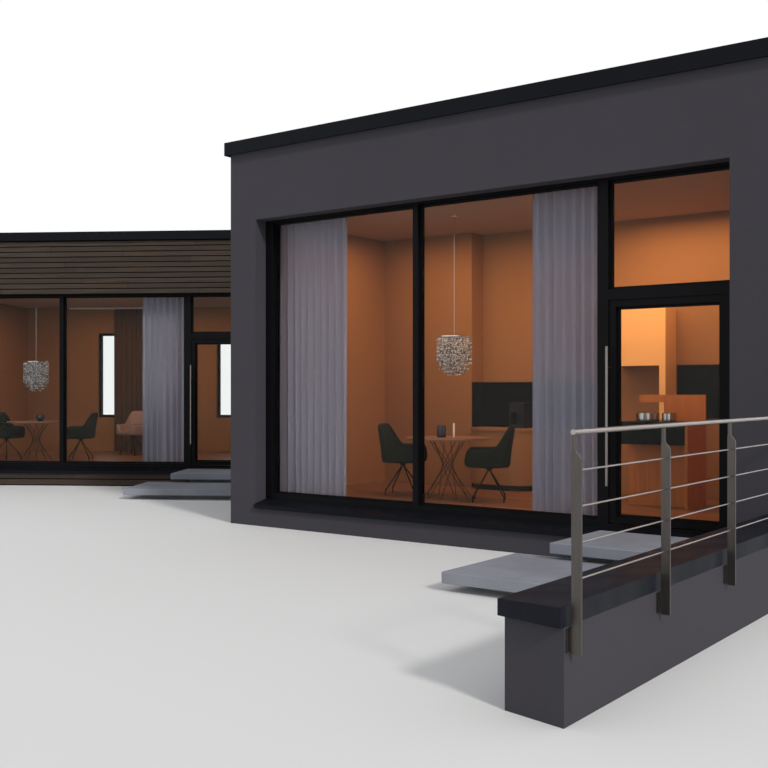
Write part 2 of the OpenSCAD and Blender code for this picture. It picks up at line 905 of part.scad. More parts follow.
module wing_right_pier() {
    x0 = wing_pier_w + opening_w;
    color("dimgray")
        at_wing()
            plan([
                [x0, board_t],
                [skew_x(wing_l, board_t), board_t],
                [skew_x(wing_l, wall_t), wall_t],
                [x0, wall_t]
            ], 0, wing_h - cap_t);
}

module wing_header() {
    color("dimgray")
        at_wing()
            span([wing_pier_w, board_t, floor_z + wing_opening_h],
                [wing_pier_w + opening_w, wall_t, wing_h - cap_t]);
}

module wing_plinth() {
    color("dimgray")
        at_wing()
            plinth(wing_pier_w, board_t);
}

module wing_left_wall() {
    color("dimgray")
        at_wing()
            span([board_t, wall_t, 0], [wall_t, wing_d - wall_t, wing_h - cap_t]);
}

module wing_back_wall() {
    color("dimgray")
        difference() {
            at_wing()
                plan([
                    [board_t, wing_d - wall_t],
                    [skew_x(wing_l, wing_d - wall_t), wing_d - wall_t],
                    [skew_x(wing_l, wing_d - board_t), wing_d - board_t],
                    [board_t, wing_d - board_t]
                ], 0, wing_h - cap_t);
            rear_window_cuts(0);
        }
}

module wing_roof_slab() {
    color("gray")
        at_wing()
            plan([
                [wall_t, wall_t],
                [skew_x(wing_l, wall_t), wall_t],
                [skew_x(wing_l, wing_d - wall_t), wing_d - wall_t],
                [wall_t, wing_d - wall_t]
            ], wing_ceiling_z, wing_ceiling_z + wing_roof_t);
}

module wing_coping() {
    color(edge_colour)
        at_wing() {
            edge_strip(wing_l, wing_h, wing_fascia_h, 1, -skew);
            translate([wing_back_l, wing_d, 0])
                rotate([0, 0, 180])
                    edge_strip(wing_back_l, wing_h, wing_fascia_h, skew, 1);
            translate([0, wing_d, 0])
                rotate([0, 0, 270])
                    edge_strip(wing_d, wing_h, wing_fascia_h, 1, 1);
        }
}

// Level boards on a wall from x0 to x1, between two heights, with a slanting right end
module boards(x0, x1, z0, z1, end_skew) {
    n = floor((z1 - z0 + board_gap) / board_pitch);
    pitch = (z1 - z0 + board_gap) / n;
    for (i = [0 : n - 1])
        plan([
            [x0, 0],
            [x1, 0],
            [x1 + board_t * end_skew, board_t],
            [x0, board_t]
        ], z0 + i * pitch, z0 + i * pitch + pitch - board_gap);
}

module wing_cladding() {
    top = wing_h - wing_fascia_h - board_gap;
    head = floor_z + wing_opening_h;
    foot = sill_foot;
    low = board_foot;
    color(board_colour)
        at_wing() {
            boards(0, skew_x(wing_l, 0), head, top, skew);
            boards(0, wing_pier_w, low, head - board_gap, 0);
            boards(wing_pier_w + opening_w, skew_x(wing_l, 0), low, head - board_gap, skew);
            boards(wing_pier_w + board_gap, wing_pier_w + opening_w - board_gap, low, foot, 0);
            translate([0, wing_d, 0])
                rotate([0, 0, 270])
                    boards(board_t + fit, wing_d - board_t - fit, low, top, 0);
        }
    color(board_colour)
        difference() {
            at_wing()
                translate([wing_back_l, wing_d, 0])
                    rotate([0, 0, 180])
                        boards(board_t * skew + 2 * fit, wing_back_l, low, top, 0);
            rear_window_cuts(board_gap);
        }
}

module wing_window_posts() {
    color(frame_colour)
        at_wing()
            posts(wing_pier_w, wing_opening_h);
}

module wing_window_rails() {
    color(frame_colour)
        at_wing()
            rails(wing_pier_w, wing_opening_h);
}

module wing_window_glass() {
    color(glass_colour)
        at_wing()
            panes(wing_pier_w, wing_opening_h);
}

module wing_window_sill() {
    color(frame_colour)
        at_wing()
            sill(wing_pier_w);
}

module wing_door_leaf() {
    color(frame_colour)
        at_wing()
            leaf(wing_pier_w);
}

module wing_door_glass() {
    color(glass_colour)
        at_wing()
            leaf_pane(wing_pier_w);
}

module wing_door_handle() {
    color("silver")
        at_wing()
            bar_handle(wing_pier_w);
}

module side_window_frames() {
    color(frame_colour)
        at_rear_windows()
            rear_frame();
}

module side_window_glass() {
    y0 = reveal + glass_recess;
    color(glass_colour)
        at_rear_windows()
            light(rear_light(), bead_w - glass_bite, y0, y0 + glass_t);
}

module wood_floor() {
    color([0.6, 0.42, 0.26]) {
        at_main()
            span([wall_t, wall_t, floor_z], [block_w - wall_t, block_d - wall_t, room_z]);
        at_wing()
            plan([
                [wall_t, wall_t],
                [skew_x(wing_l, wall_t), wall_t],
                [skew_x(wing_l, wing_d - wall_t), wing_d - wall_t],
                [wall_t, wing_d - wall_t]
            ], floor_z, room_z);
    }
}

// Inner walls: beside the table, back beside the kitchen and behind it
module partition_wall() {
    t = partition_t;
    color("wheat")
        at_main()
            plan([
                [wall_t, nook_y],
                [nook_end, nook_y],
                [nook_end, kitchen_y],
                [block_w - wall_t, kitchen_y],
                [block_w - wall_t, kitchen_y + t],
                [nook_end - t, kitchen_y + t],
                [nook_end - t, nook_y + t],
                [wall_t, nook_y + t]
            ], room_z, ceiling_z);
}

// Kitchen island: carcass with knee space, end board, back board and its raised part with a gap
module kitchen_island() {
    w = island_size[0];
    d = island_size[1];
    h = island_size[2];
    t = island_board;
    color("burlywood")
        at_main()
            translate([island_at[0], island_at[1], room_z]) {
                span([0, island_recess, 0], [w - t, d - t, island_band_z]);
                span([w - t, 0, 0], [w, d, h]);
                span([0, d - t, 0], [w, d, h]);
                span([island_raise_x, d - t, h], [w, d, h + island_raise]);
                span([0, d - t, h + island_raise - island_bridge], [w, d, h + island_raise]);
            }
}

// Dark top of the island, and the dark panels on the kitchen's walls
module kitchen_tops() {
    w = island_size[0] - island_board - fit;
    d = island_size[1] - island_board - fit;
    a = splash_a;
    b = splash_b;
    z = room_z + unit_h + unit_top_t;
    color([0.06, 0.07, 0.06])
        at_main() {
            translate([island_at[0], island_at[1], room_z])
                span([0, 0, island_band_z], [w, d, island_size[2]]);
            plan([
                [nook_end, nook_y],
                [nook_end + splash_t, nook_y],
                [nook_end + splash_t, kitchen_y - splash_t],
                [nook_end + a[0], kitchen_y - splash_t],
                [nook_end + a[0], kitchen_y],
                [nook_end, kitchen_y]
            ], z, z + a[1]);
            translate([b[0], kitchen_y - splash_t, room_z + splash_b_z])
                cube([b[1], splash_t, b[2]]);
        }
}

// Plan of a cabinet whose two front corners are round
module rounded_front(l, d, r) {
    translate([r, 0])
        square([l - 2 * r, d]);
    translate([0, r])
        square([l, d - r]);
    intersection() {
        union() {
            translate([r, r])
                circle(r);
            translate([l - r, r])
                circle(r);
        }
        square([l, d]);
    }
}

// Base unit with round corners, and the wall unit on its tall side board
module sideboard() {
    w = wall_unit_size;
    out = unit_top_out;
    in = plinth_in;
    color("white")
        at_main() {
            translate([nook_end + out, kitchen_y - unit_d, room_z]) {
                translate([in, in, 0])
                    linear_extrude(plinth_h)
                        rounded_front(unit_l - 2 * in, unit_d - in, unit_round - in);
                translate([0, 0, plinth_h])
                    linear_extrude(unit_h - plinth_h)
                        rounded_front(unit_l, unit_d, unit_round);
                translate([-out, -out, unit_h])
                    linear_extrude(unit_top_t)
                        rounded_front(unit_l + 2 * out, unit_d + out, unit_round + out);
            }
            translate([wall_unit_at, kitchen_y - w[1], room_z]) {
                span([0, 0, wall_unit_z], [w[0] - side_board, w[1], wall_unit_z + w[2]]);
                span([w[0] - side_board, 0, 0], [w[0], w[1], wall_unit_z + w[2]]);
            }
        }
}

// Coffee maker on the base unit, with the space for the cup in its front
module coffee_maker() {
    w = maker_size[0];
    cup = maker_cup;
    side = (w - cup[0]) / 2;
    color([0.12, 0.12, 0.12])
        at_main()
            translate([maker_at[0], maker_at[1], room_z + unit_h + unit_top_t])
                difference() {
                    cube(maker_size);
                    span([side, -past, maker_base], [w - side, cup[1], maker_base + cup[2]]);
                }
}

// A straight leaning wire of the table; the rims of its square ends meet the floor and the top
module table_wire(a, h) {
    p = [wire_foot_r * cos(a), wire_foot_r * sin(a), 0];
    q = [wire_top_r * cos(a + wire_twist), wire_top_r * sin(a + wire_twist), h];
    v = q - p;
    l = norm(v);
    lean = acos(h / l);
    short = wire_dia / 2 * tan(lean);
    translate(p)
        rotate([0, lean, atan2(v[1], v[0])])
            translate([0, 0, short])
                cylinder(d = wire_dia, h = l - 2 * short);
}

// Round table on wires that cross at half height
module round_table() {
    h = table_h - table_top_t;
    translate([0, 0, h])
        cylinder(d = table_dia, h = table_top_t);
    for (i = [0 : wire_count - 1])
        table_wire(i * 360 / wire_count, h - fit);
}

module dining_tables() {
    color("dimgray") {
        at_main()
            translate([table_at[0], table_at[1], room_z])
                round_table();
        at_wing()
            translate([wing_table_at[0], wing_table_at[1], room_z])
                round_table();
    }
}

// Children at a place and turn from a table
module beside(table, seat) {
    translate([table[0] + seat[0], table[1] + seat[1], room_z])
        rotate([0, 0, seat[2]])
            children();
}

// Children at each chair's place: two in the main room, three in the wing
module at_chairs() {
    at_main()
        for (seat = [left_chair, right_chair])
            beside(table_at, seat)
                children();
    at_wing()
        for (seat = [wing_chair, wing_far_chair, pale_chair])
            beside(wing_table_at, seat)
                children();
}

// Side view of a chair's shell: arms in front, the back leaning out behind them
module chair_side() {
    polygon([
        [chair_foot_y, chair_under_z],
        [chair_front - 3 * chair_ease, chair_under_z],
        [chair_front, chair_under_z + 3 * chair_ease],
        [chair_front, chair_arm_z - chair_ease],
        [chair_front - chair_ease, chair_arm_z],
        [chair_bend_y, chair_arm_z + chair_ease],
        [chair_back_y, chair_back_z - chair_ease],
        [chair_back_y - chair_ease, chair_back_z],
        [chair_top_y, chair_back_z],
        [chair_top_y - chair_ease, chair_back_z - chair_ease],
        [chair_waist_y, chair_arm_z]
    ]);
}

// Plan of a chair's shell, round behind
module chair_plan(in) {
    half = chair_w / 2 - in;
    translate([-half, -half * chair_round_at])
        square([2 * half, half * (1 + chair_round_at) + in]);
    translate([0, -half * chair_round_at])
        scale([1, chair_round])
            circle(half);
}

// Upholstered bucket of a chair that faces +Y, with its seat between the arms
module shell_chair() {
    difference() {
        intersection() {
            translate([-chair_w / 2, 0, 0])
                along_x(chair_w)
                    chair_side();
            linear_extrude(chair_back_z)
                chair_plan(0);
        }
        translate([0, 0, chair_seat_z])
            linear_extrude(chair_back_z)
                intersection() {
                    chair_plan(chair_pad);
                    translate([-chair_w / 2, -chair_w / 2 + chair_pad])
                        square(2 * chair_w);
                }
    }
}

module dining_chairs() {
    color([0.16, 0.17, 0.13])
        at_chairs()
            shell_chair();
}

// Hub with four legs that slope out to a knee and end upright
module chair_legs() {
    hub_z = chair_under_z - hub_h;
    slope = [leg_knee_r, hub_z + hub_lap - leg_knee_z];
    translate([0, 0, hub_z])
        cylinder(d = hub_dia, h = chair_under_z - hub_z - fit);
    for (a = [45 : 90 : 315])
        rotate([0, 0, a]) {
            translate([leg_knee_r, 0, 0])
                cylinder(d = leg_dia, h = leg_knee_z, $fn = leg_sides);
            translate([leg_knee_r, 0, leg_knee_z])
                sphere(d = leg_dia, $fn = leg_sides);
            translate([leg_knee_r, 0, leg_knee_z])
                rotate([0, -atan2(slope[0], slope[1]), 0])
                    cylinder(d = leg_dia, h = norm(slope), $fn = leg_sides);
        }
}

module chair_frames() {
    color([0.1, 0.1, 0.1])
        at_chairs()
            chair_legs();
}

// A vessel given by its width, height and wall
module vessel(v) {
    difference() {
        cylinder(d = v[0], h = v[1]);
        translate([0, 0, v[2]])
            cylinder(d = v[0] - 2 * v[2], h = v[1]);
    }
}

// Vase and candle on the table, jars on the island and a bowl on the wing's table
module tableware() {
    color("lightslategray") {
        at_main() {
            translate([table_at[0] + vase_at[0], table_at[1] + vase_at[1], room_z + table_h])
                vessel(vase);
            translate([table_at[0] + candle_at[0], table_at[1] + candle_at[1], room_z + table_h])
                cylinder(d = candle[0], h = candle[1]);
            translate([island_at[0] + jar_a_at[0], island_at[1] + jar_a_at[1], room_z + island_size[2]])
                vessel(jar_a);
            translate([island_at[0] + jar_b_at[0], island_at[1] + jar_b_at[1], room_z + island_size[2]])
                vessel(jar_b);
        }
        at_wing()
            translate([wing_table_at[0] + bowl_at[0], wing_table_at[1] + bowl_at[1], room_z + table_h])
                vessel(bowl);
    }
}

// Drum of crystal strings in a hoop, on a stem from the ceiling: straight above, drawn in below
module chandelier(d, h, z, z_ceiling) {
    r = d / 2 - hoop_t;
    top = z + h;
    rotate_extrude()
        polygon([
            [0, z],
            [d * drum_draw / 2, z],
            [r * drum_belly, z + h * drum_taper / 2],
            [r, z + h * drum_taper],
            [r, top - 2 * hoop_t],
            [d / 2, top - 2 * hoop_t],
            [d / 2, top],
            [r, top],
            [r, top - hoop_t],
            [stem_dia / 2, top - hoop_t],
            [stem_dia / 2, z_ceiling - rose_t],
            [rose_dia / 2, z_ceiling - rose_t],
            [rose_dia / 2, z_ceiling],
            [0, z_ceiling]
        ]);
}

module chandeliers() {
    color("gainsboro") {
        at_main()
            translate([lamp_at[0], lamp_at[1], 0])
                chandelier(drum_dia, drum_h, drum_z, ceiling_z);
        at_wing()
            translate([wing_table_at[0], wing_table_at[1], 0])
                chandelier(wing_drum_dia, wing_drum_h, wing_drum_z, wing_ceiling_z);
    }
}

// Space that a gathered curtain takes between two places along its wall
module curtain(ends, top) {
    y0 = wall_t + curtain_off;
    span([ends[0], y0, room_z + curtain_clear], [ends[1], y0 + curtain_t, top - curtain_drop]);
}

// Ceiling rail over curtains, between two places along the wall
module curtain_rail(ends, top) {
    y0 = wall_t + curtain_off + (curtain_t - curtain_rail_w) / 2;
    span([ends[0], y0, top - curtain_drop + fit], [ends[1], y0 + curtain_rail_w, top]);
}

// Places children that are drawn for a front wall behind the wing's back wall
module at_wing_back() {
    at_wing()
        translate([0, wing_d, 0])
            mirror([0, 1, 0])
                children();
}

module curtains() {
    color("white") {
        at_main() {
            curtain(curtain_left, ceiling_z);
            curtain(curtain_right, ceiling_z);
        }
        at_wing()
            curtain(curtain_wing, wing_ceiling_z);
        at_wing_back()
            curtain(curtain_rear, wing_ceiling_z);
    }
}

module curtain_rails() {
    glazed = window_left_w + window_mid_w;
    color("white") {
        at_main()
            curtain_rail([pier_w, pier_w + glazed], ceiling_z);
        at_wing()
            curtain_rail([wing_pier_w, wing_pier_w + glazed], wing_ceiling_z);
        at_wing_back()
            curtain_rail([wing_window_at[0] - rear_w, curtain_rear[1]], wing_ceiling_z);
    }
}

floor_slab();
front_left_pier();
front_right_pier();
front_header();
front_plinth();
left_wall();
right_wall();
back_wall();
roof_slab();
roof_coping();
window_posts();
window_rails();
window_glass();
window_sill();
door_leaf();
door_glass();
door_handle();
entry_slabs();
slab_footings();
garden_wall();
garden_wall_coping();
rail_posts();
handrail();
rail_rods();
wing_floor_slab();
wing_left_pier();
wing_right_pier();
wing_header();
wing_plinth();
wing_left_wall();
wing_back_wall();
wing_roof_slab();
wing_coping();
wing_cladding();
wing_window_posts();
wing_window_rails();
wing_window_glass();
wing_window_sill();
wing_door_leaf();
wing_door_glass();
wing_door_handle();
side_window_frames();
side_window_glass();
wood_floor();
partition_wall();
kitchen_island();
kitchen_tops();
sideboard();
coffee_maker();
dining_tables();
dining_chairs();
chair_frames();
tableware();
chandeliers();
curtains();
curtain_rails();
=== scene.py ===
"""Finishes, soft furnishings and stage of the flat roofed bungalow."""

import math

import bmesh
import bpy
import numpy as np
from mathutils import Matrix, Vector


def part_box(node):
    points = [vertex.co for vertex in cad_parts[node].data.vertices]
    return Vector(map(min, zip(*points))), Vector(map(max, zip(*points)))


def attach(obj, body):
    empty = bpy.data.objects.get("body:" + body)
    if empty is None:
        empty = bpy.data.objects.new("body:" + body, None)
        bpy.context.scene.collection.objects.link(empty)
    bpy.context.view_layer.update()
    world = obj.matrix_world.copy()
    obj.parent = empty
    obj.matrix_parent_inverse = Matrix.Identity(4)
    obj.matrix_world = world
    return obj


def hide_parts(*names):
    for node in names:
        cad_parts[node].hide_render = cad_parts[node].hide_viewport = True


bl_info = {
    "name": "Bungalow finishes",
    "version": (1, 0, 0),
    "blender": (4, 5, 0),
    "location": "View3D > Sidebar > Bungalow",
    "description": "Dresses the bungalow's construction and sets up its stage",
    "category": "Object",
}

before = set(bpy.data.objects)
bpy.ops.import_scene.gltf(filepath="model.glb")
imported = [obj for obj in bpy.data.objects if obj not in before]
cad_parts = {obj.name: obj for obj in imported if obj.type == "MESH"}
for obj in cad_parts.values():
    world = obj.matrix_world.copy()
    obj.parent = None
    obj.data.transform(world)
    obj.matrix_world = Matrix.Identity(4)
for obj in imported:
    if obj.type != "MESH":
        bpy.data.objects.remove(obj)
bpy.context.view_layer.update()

# Sizes of the construction that the finishes follow, in metres
BLOCK_WIDTH = 7.2
BLOCK_DEPTH = 12.0
WING_LENGTH = 10.1
WING_DEPTH = 4.7
WING_SET_BACK = 5.816
WING_TURN = math.radians(32)
WALL = 0.365
# Half a gap below the foot of the lowest board
BOARD_FOOT = 0.0115
TABLE_HEIGHT = 0.75
TABLE_TOP = 0.025
UNIT_PLINTH = 0.075
ISLAND_HEIGHT = 0.98
ROOM_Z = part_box("wood_floor")[1].z
MAIN_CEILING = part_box("roof_slab")[0].z
WING_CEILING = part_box("wing_roof_slab")[0].z

# Where a front is drawn from: its left corner and the turn of the front
MAIN = {"corner": (-BLOCK_WIDTH / 2, -BLOCK_DEPTH / 2), "turn": 0.0}
WING = {
    "corner": (
        MAIN["corner"][0] - WING_LENGTH * math.cos(WING_TURN),
        MAIN["corner"][1] + WING_SET_BACK - WING_LENGTH * math.sin(WING_TURN),
    ),
    "turn": WING_TURN,
}

# Places along a front's own axes
TABLE = (2.385, 1.430)
LAMP = (2.485, 1.430)
WING_TABLE = (1.850, 1.250)
ISLAND = (4.53, 1.80)

# Rooms start at this depth, inside the walls and just short of the frames' backs
INDOORS = 0.285
# Where the wing's room ends, inside the main block's left wall, along the wing
WING_END = 13.2
# A space is a front, an upright box along its axes and the level of its ceiling
BLOCK_SPACE = (MAIN, (INDOORS, BLOCK_WIDTH - INDOORS, INDOORS, BLOCK_DEPTH - INDOORS), MAIN_CEILING)
WING_SPACE = (WING, (INDOORS, WING_END, INDOORS, WING_DEPTH - INDOORS), WING_CEILING)

# Takes a surface that lies at a level in with what is below that level
MARGIN = 0.002
# Keeps two surfaces apart that would else lie in one another
HAIR = 0.0005


# Node helpers


class Nodes:
    """A tree of nodes, with short calls that add to it."""

    def __init__(self, tree):
        self.tree = tree

    def add(self, kind, inputs=None, **settings):
        """A node of that kind, with its settings and its inputs, which are values or sockets."""
        node = self.tree.nodes.new(kind)
        for key, value in settings.items():
            setattr(node, key, value)
        for key, value in (inputs or {}).items():
            self.set(node.inputs[key], value)
        return node

    def set(self, socket, value):
        """Links a socket, or writes a value, to an input."""
        if isinstance(value, bpy.types.NodeSocket):
            self.tree.links.new(value, socket)
        else:
            socket.default_value = value

    def math(self, operation, a, b=0.0, c=0.0):
        """One operation on one, two or three numbers."""
        return self.add("ShaderNodeMath", {0: a, 1: b, 2: c}, operation=operation).outputs[0]

    def seen(self):
        """1 for what the camera, gloss and clear glass see, and 0 for the light that falls on surfaces."""
        path = self.add("ShaderNodeLightPath").outputs
        most = self.math("MAXIMUM", path["Is Camera Ray"], path["Is Glossy Ray"])
        return self.math("MAXIMUM", most, path["Is Transmission Ray"])

    def blend(self, share, first, second):
        """Two shaders blended by a share."""
        inputs = {0: share, 1: first.outputs[0], 2: second.outputs[0]}
        return self.add("ShaderNodeMixShader", inputs).outputs[0]


class Finish(Nodes):
    """One procedural material on a Principled shader."""

    def __init__(self, name):
        self.material = bpy.data.materials.new(name)
        self.material.use_nodes = True
        super().__init__(self.material.node_tree)
        self.shader = self.tree.nodes["Principled BSDF"]
        self.place = self.add("ShaderNodeTexCoord").outputs["Object"]

    def on(self, **inputs):
        """Writes the shader's inputs; an underscore in a name stands for a space."""
        for key, value in inputs.items():
            self.set(self.shader.inputs[key.replace("_", " ")], value)
        return self

    def scaled(self, x, y, z):
        """The place stretched along each axis, which draws a pattern out."""
        return self.add("ShaderNodeMapping", {"Vector": self.place, "Scale": (x, y, z)}).outputs[0]

    def vector(self, operation, a, b):
        """One operation on two vectors."""
        return self.add("ShaderNodeVectorMath", {0: a, 1: b}, operation=operation).outputs[0]

    def joined(self, x, y=0.0, z=0.0):
        """A vector from its three parts."""
        return self.add("ShaderNodeCombineXYZ", {0: x, 1: y, 2: z}).outputs[0]

    def turned(self, front):
        """The place measured from a front's left corner along its own axes."""
        moved = self.vector("SUBTRACT", self.place, (*front["corner"], 0))
        turn = {"Vector": moved, "Angle": -front["turn"]}
        return self.add("ShaderNodeVectorRotate", turn, rotation_type="Z_AXIS").outputs[0]

    def noise(self, scale, detail=3.0, roughness=0.55, place=None, distortion=0.0):
        """Cloudy noise between 0 and 1; scale is in cycles a metre."""
        inputs = {"Vector": place or self.place, "Scale": scale, "Detail": detail}
        inputs.update({"Roughness": roughness, "Distortion": distortion})
        return self.add("ShaderNodeTexNoise", inputs).outputs[0]

    def cells(self, scale, place=None):
        """Distance to the nearest of scattered points."""
        inputs = {"Vector": place or self.place, "Scale": scale}
        return self.add("ShaderNodeTexVoronoi", inputs).outputs[0]

    def between(self, value, low, high, to_low=0.0, to_high=1.0):
        """The value moved from one range to another and held within it."""
        ranges = {0: value, 1: low, 2: high, 3: to_low, 4: to_high}
        return self.add("ShaderNodeMapRange", ranges, clamp=True).outputs[0]

    def mix(self, share, a, b):
        """Two colours mixed by a share."""
        return self.add("ShaderNodeMix", {0: share, 6: a, 7: b}, data_type="RGBA").outputs[2]

    def tones(self, share, colour, low, high):
        """A colour that goes from one of its shades to another by a share."""
        return self.mix(share, shade(colour, low), shade(colour, high))

    def bump(self, height, distance):
        """A bumped normal from a height; distance is its depth in metres."""
        return self.add("ShaderNodeBump", {"Height": height, "Distance": distance}).outputs[0]

    def axes(self, place=None):
        """The three parts of a place."""
        return self.add("ShaderNodeSeparateXYZ", {0: place or self.place}).outputs

    def below(self, level):
        """1 below a height and 0 above it."""
        return self.math("LESS_THAN", self.axes()[2], level)

    def beyond(self, value, low, high):
        """How far a number lies outside a range; it is below 0 within the range."""
        off = self.math("ABSOLUTE", self.math("SUBTRACT", value, (low + high) / 2))
        return self.math("SUBTRACT", off, (high - low) / 2)

    def inside(self, front, x0, x1, y0, y1):
        """1 within an upright box that is given along a front's own axes, and 0 outside it."""
        x, y, _ = self.axes(self.turned(front))
        off = self.math("MAXIMUM", self.beyond(x, x0, x1), self.beyond(y, y0, y1))
        return self.math("LESS_THAN", off, 0.0)


def shade(colour, factor):
    """A colour made lighter or darker, as four numbers."""
    return tuple(min(1.0, part * factor) for part in tuple(colour)[:3]) + (1.0,)


def opaque(colour):
    """A property's colour as four numbers."""
    return tuple(colour)[:3] + (1.0,)


def dress(finish, *nodes):
    """Gives construction nodes their finish through their own material slots."""
    for node in nodes:
        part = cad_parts[node]
        if not part.material_slots:
            part.data.materials.append(finish.material)
        for slot in part.material_slots:
            slot.material = finish.material


# Finishes

BLACK = (0.006, 0.006, 0.006, 1.0)
# Brushing that draws noise out along z and along y, and wood grain along x
UPRIGHT = (900.0, 900.0, 5.0)
ALONG_Y = (900.0, 5.0, 900.0)
ALONG_X = (2.2, 30.0, 22.0)


def wall_finish(name, outer, inner, sheet, grain, spaces):
    """Fine float render outside, smooth warm plaster in the rooms and roofing sheet inside the parapet, told
    apart by where the surface is. The parapet stands on the first of the spaces."""
    skin = Finish(name)
    indoors, parapet = 0.0, None
    for front, box, ceiling in spaces:
        within = skin.inside(front, *box)
        room = skin.math("MULTIPLY", within, skin.below(ceiling + MARGIN))
        indoors = skin.math("MAXIMUM", room, indoors)
        if parapet is None:
            parapet = skin.math("SUBTRACT", within, room)
    cloud = skin.between(skin.noise(0.5, 4.0), 0.3, 0.7)
    speck = skin.between(skin.noise(220.0, 2.0), 0.35, 0.65)
    outside = skin.tones(cloud, outer, 0.93, 1.06)
    outside = skin.mix(skin.math("MULTIPLY", speck, 0.5), outside, shade(outer, 1.4))
    outside = skin.mix(parapet, outside, skin.tones(cloud, sheet, 0.85, 1.2))
    float_marks = skin.noise(9.0, 5.0, place=skin.scaled(1.0, 1.0, 1.6), distortion=0.6)
    height = skin.math("MULTIPLY_ADD", float_marks, 0.5, skin.noise(grain, 5.0, 0.75))
    height = skin.math("MULTIPLY", height, skin.between(indoors, 0.0, 1.0, 1.0, 0.05))
    return skin.on(
        Base_Color=skin.mix(indoors, outside, skin.tones(cloud, inner, 0.97, 1.03)),
        Roughness=skin.between(indoors, 0.0, 1.0, 0.93, 0.85),
        Specular_IOR_Level=0.2,
        Normal=skin.bump(height, 0.005),
    )


def membrane_finish(name, colour, lap, plaster, front, ceiling):
    """Roofing sheets with welded laps, dusted by weather, and plaster on the ceiling below. The first sheet
    is cut narrower at the front's left corner."""
    skin = Finish(name)
    cut = 0.65
    along = skin.math("ADD", skin.axes(skin.turned(front))[0], cut)
    seam = skin.math("LESS_THAN", skin.math("FRACT", skin.math("DIVIDE", along, lap)), 0.08)
    dust = skin.between(skin.noise(0.8, 5.0), 0.35, 0.7)
    tone = skin.tones(dust, colour, 0.85, 1.25)
    tone = skin.mix(skin.math("MULTIPLY", seam, 0.4), tone, shade(colour, 0.6))
    return skin.on(
        Base_Color=skin.mix(skin.below(ceiling + MARGIN), tone, opaque(plaster)),
        Roughness=0.85,
        Normal=skin.bump(skin.math("MULTIPLY_ADD", skin.noise(300.0, 2.0), 0.3, seam), 0.003),
    )


def coated_metal_finish(name, colour, roughness):
    """Powder coated sheet: fine orange peel and a faint waviness."""
    skin = Finish(name)
    wave = skin.noise(1.4, 2.0)
    peel = skin.noise(420.0, 2.0)
    return skin.on(
        Base_Color=skin.tones(skin.between(wave, 0.3, 0.7), colour, 0.9, 1.15),
        Roughness=skin.between(skin.noise(6.0, 4.0), 0.3, 0.7, roughness - 0.05, roughness + 0.08),
        Specular_IOR_Level=0.08,
        Normal=skin.bump(skin.math("MULTIPLY_ADD", wave, 15.0, peel), 0.00012),
    )


def glass_finish(name, tint):
    """Clear glass with a breath of tint; its low index stands for a coating that calms its mirror image."""
    skin = Finish(name)
    return skin.on(Base_Color=opaque(tint), Roughness=0.0, IOR=1.18, Transmission_Weight=1.0)


def brushed_finish(name, colour, draw, roughness=0.36):
    """Stainless steel brushed along one axis: the noise is drawn out along it."""
    skin = Finish(name)
    lines = skin.noise(1.0, 4.0, 0.6, place=skin.scaled(*draw))
    return skin.on(
        Base_Color=skin.tones(skin.between(lines, 0.35, 0.65), colour, 0.72, 1.15),
        Metallic=1.0,
        Roughness=skin.between(lines, 0.3, 0.7, roughness - 0.07, roughness + 0.1),
        Normal=skin.bump(lines, 0.0002),
    )


def concrete_finish(name, colour):
    """Smooth cast concrete: clouds, pores and a little sand."""
    skin = Finish(name)
    cloud = skin.between(skin.noise(1.6, 6.0, 0.62), 0.3, 0.72)
    pores = skin.math("LESS_THAN", skin.cells(70.0), 0.17)
    sand = skin.noise(500.0, 2.0)
    tone = skin.tones(cloud, colour, 0.82, 1.12)
    tone = skin.mix(skin.math("MULTIPLY", pores, 0.5), tone, shade(colour, 0.5))
    height = skin.math("SUBTRACT", skin.math("MULTIPLY", sand, 0.25), pores)
    return skin.on(Base_Color=tone, Roughness=0.78, Normal=skin.bump(height, 0.0012))


def polished_stone_finish(name, colour):
    """Dark polished stone with fine crystals under its gloss."""
    skin = Finish(name)
    grain = skin.between(skin.cells(160.0), 0.2, 0.7)
    cloud = skin.between(skin.noise(3.0, 5.0), 0.35, 0.7)
    return skin.on(
        Base_Color=skin.mix(cloud, skin.tones(grain, colour, 1.7, 0.8), shade(colour, 0.7)),
        Roughness=skin.between(cloud, 0.0, 1.0, 0.40, 0.52),
        Specular_IOR_Level=0.08,
        Normal=skin.bump(skin.noise(2.5, 3.0), 0.0006),
    )


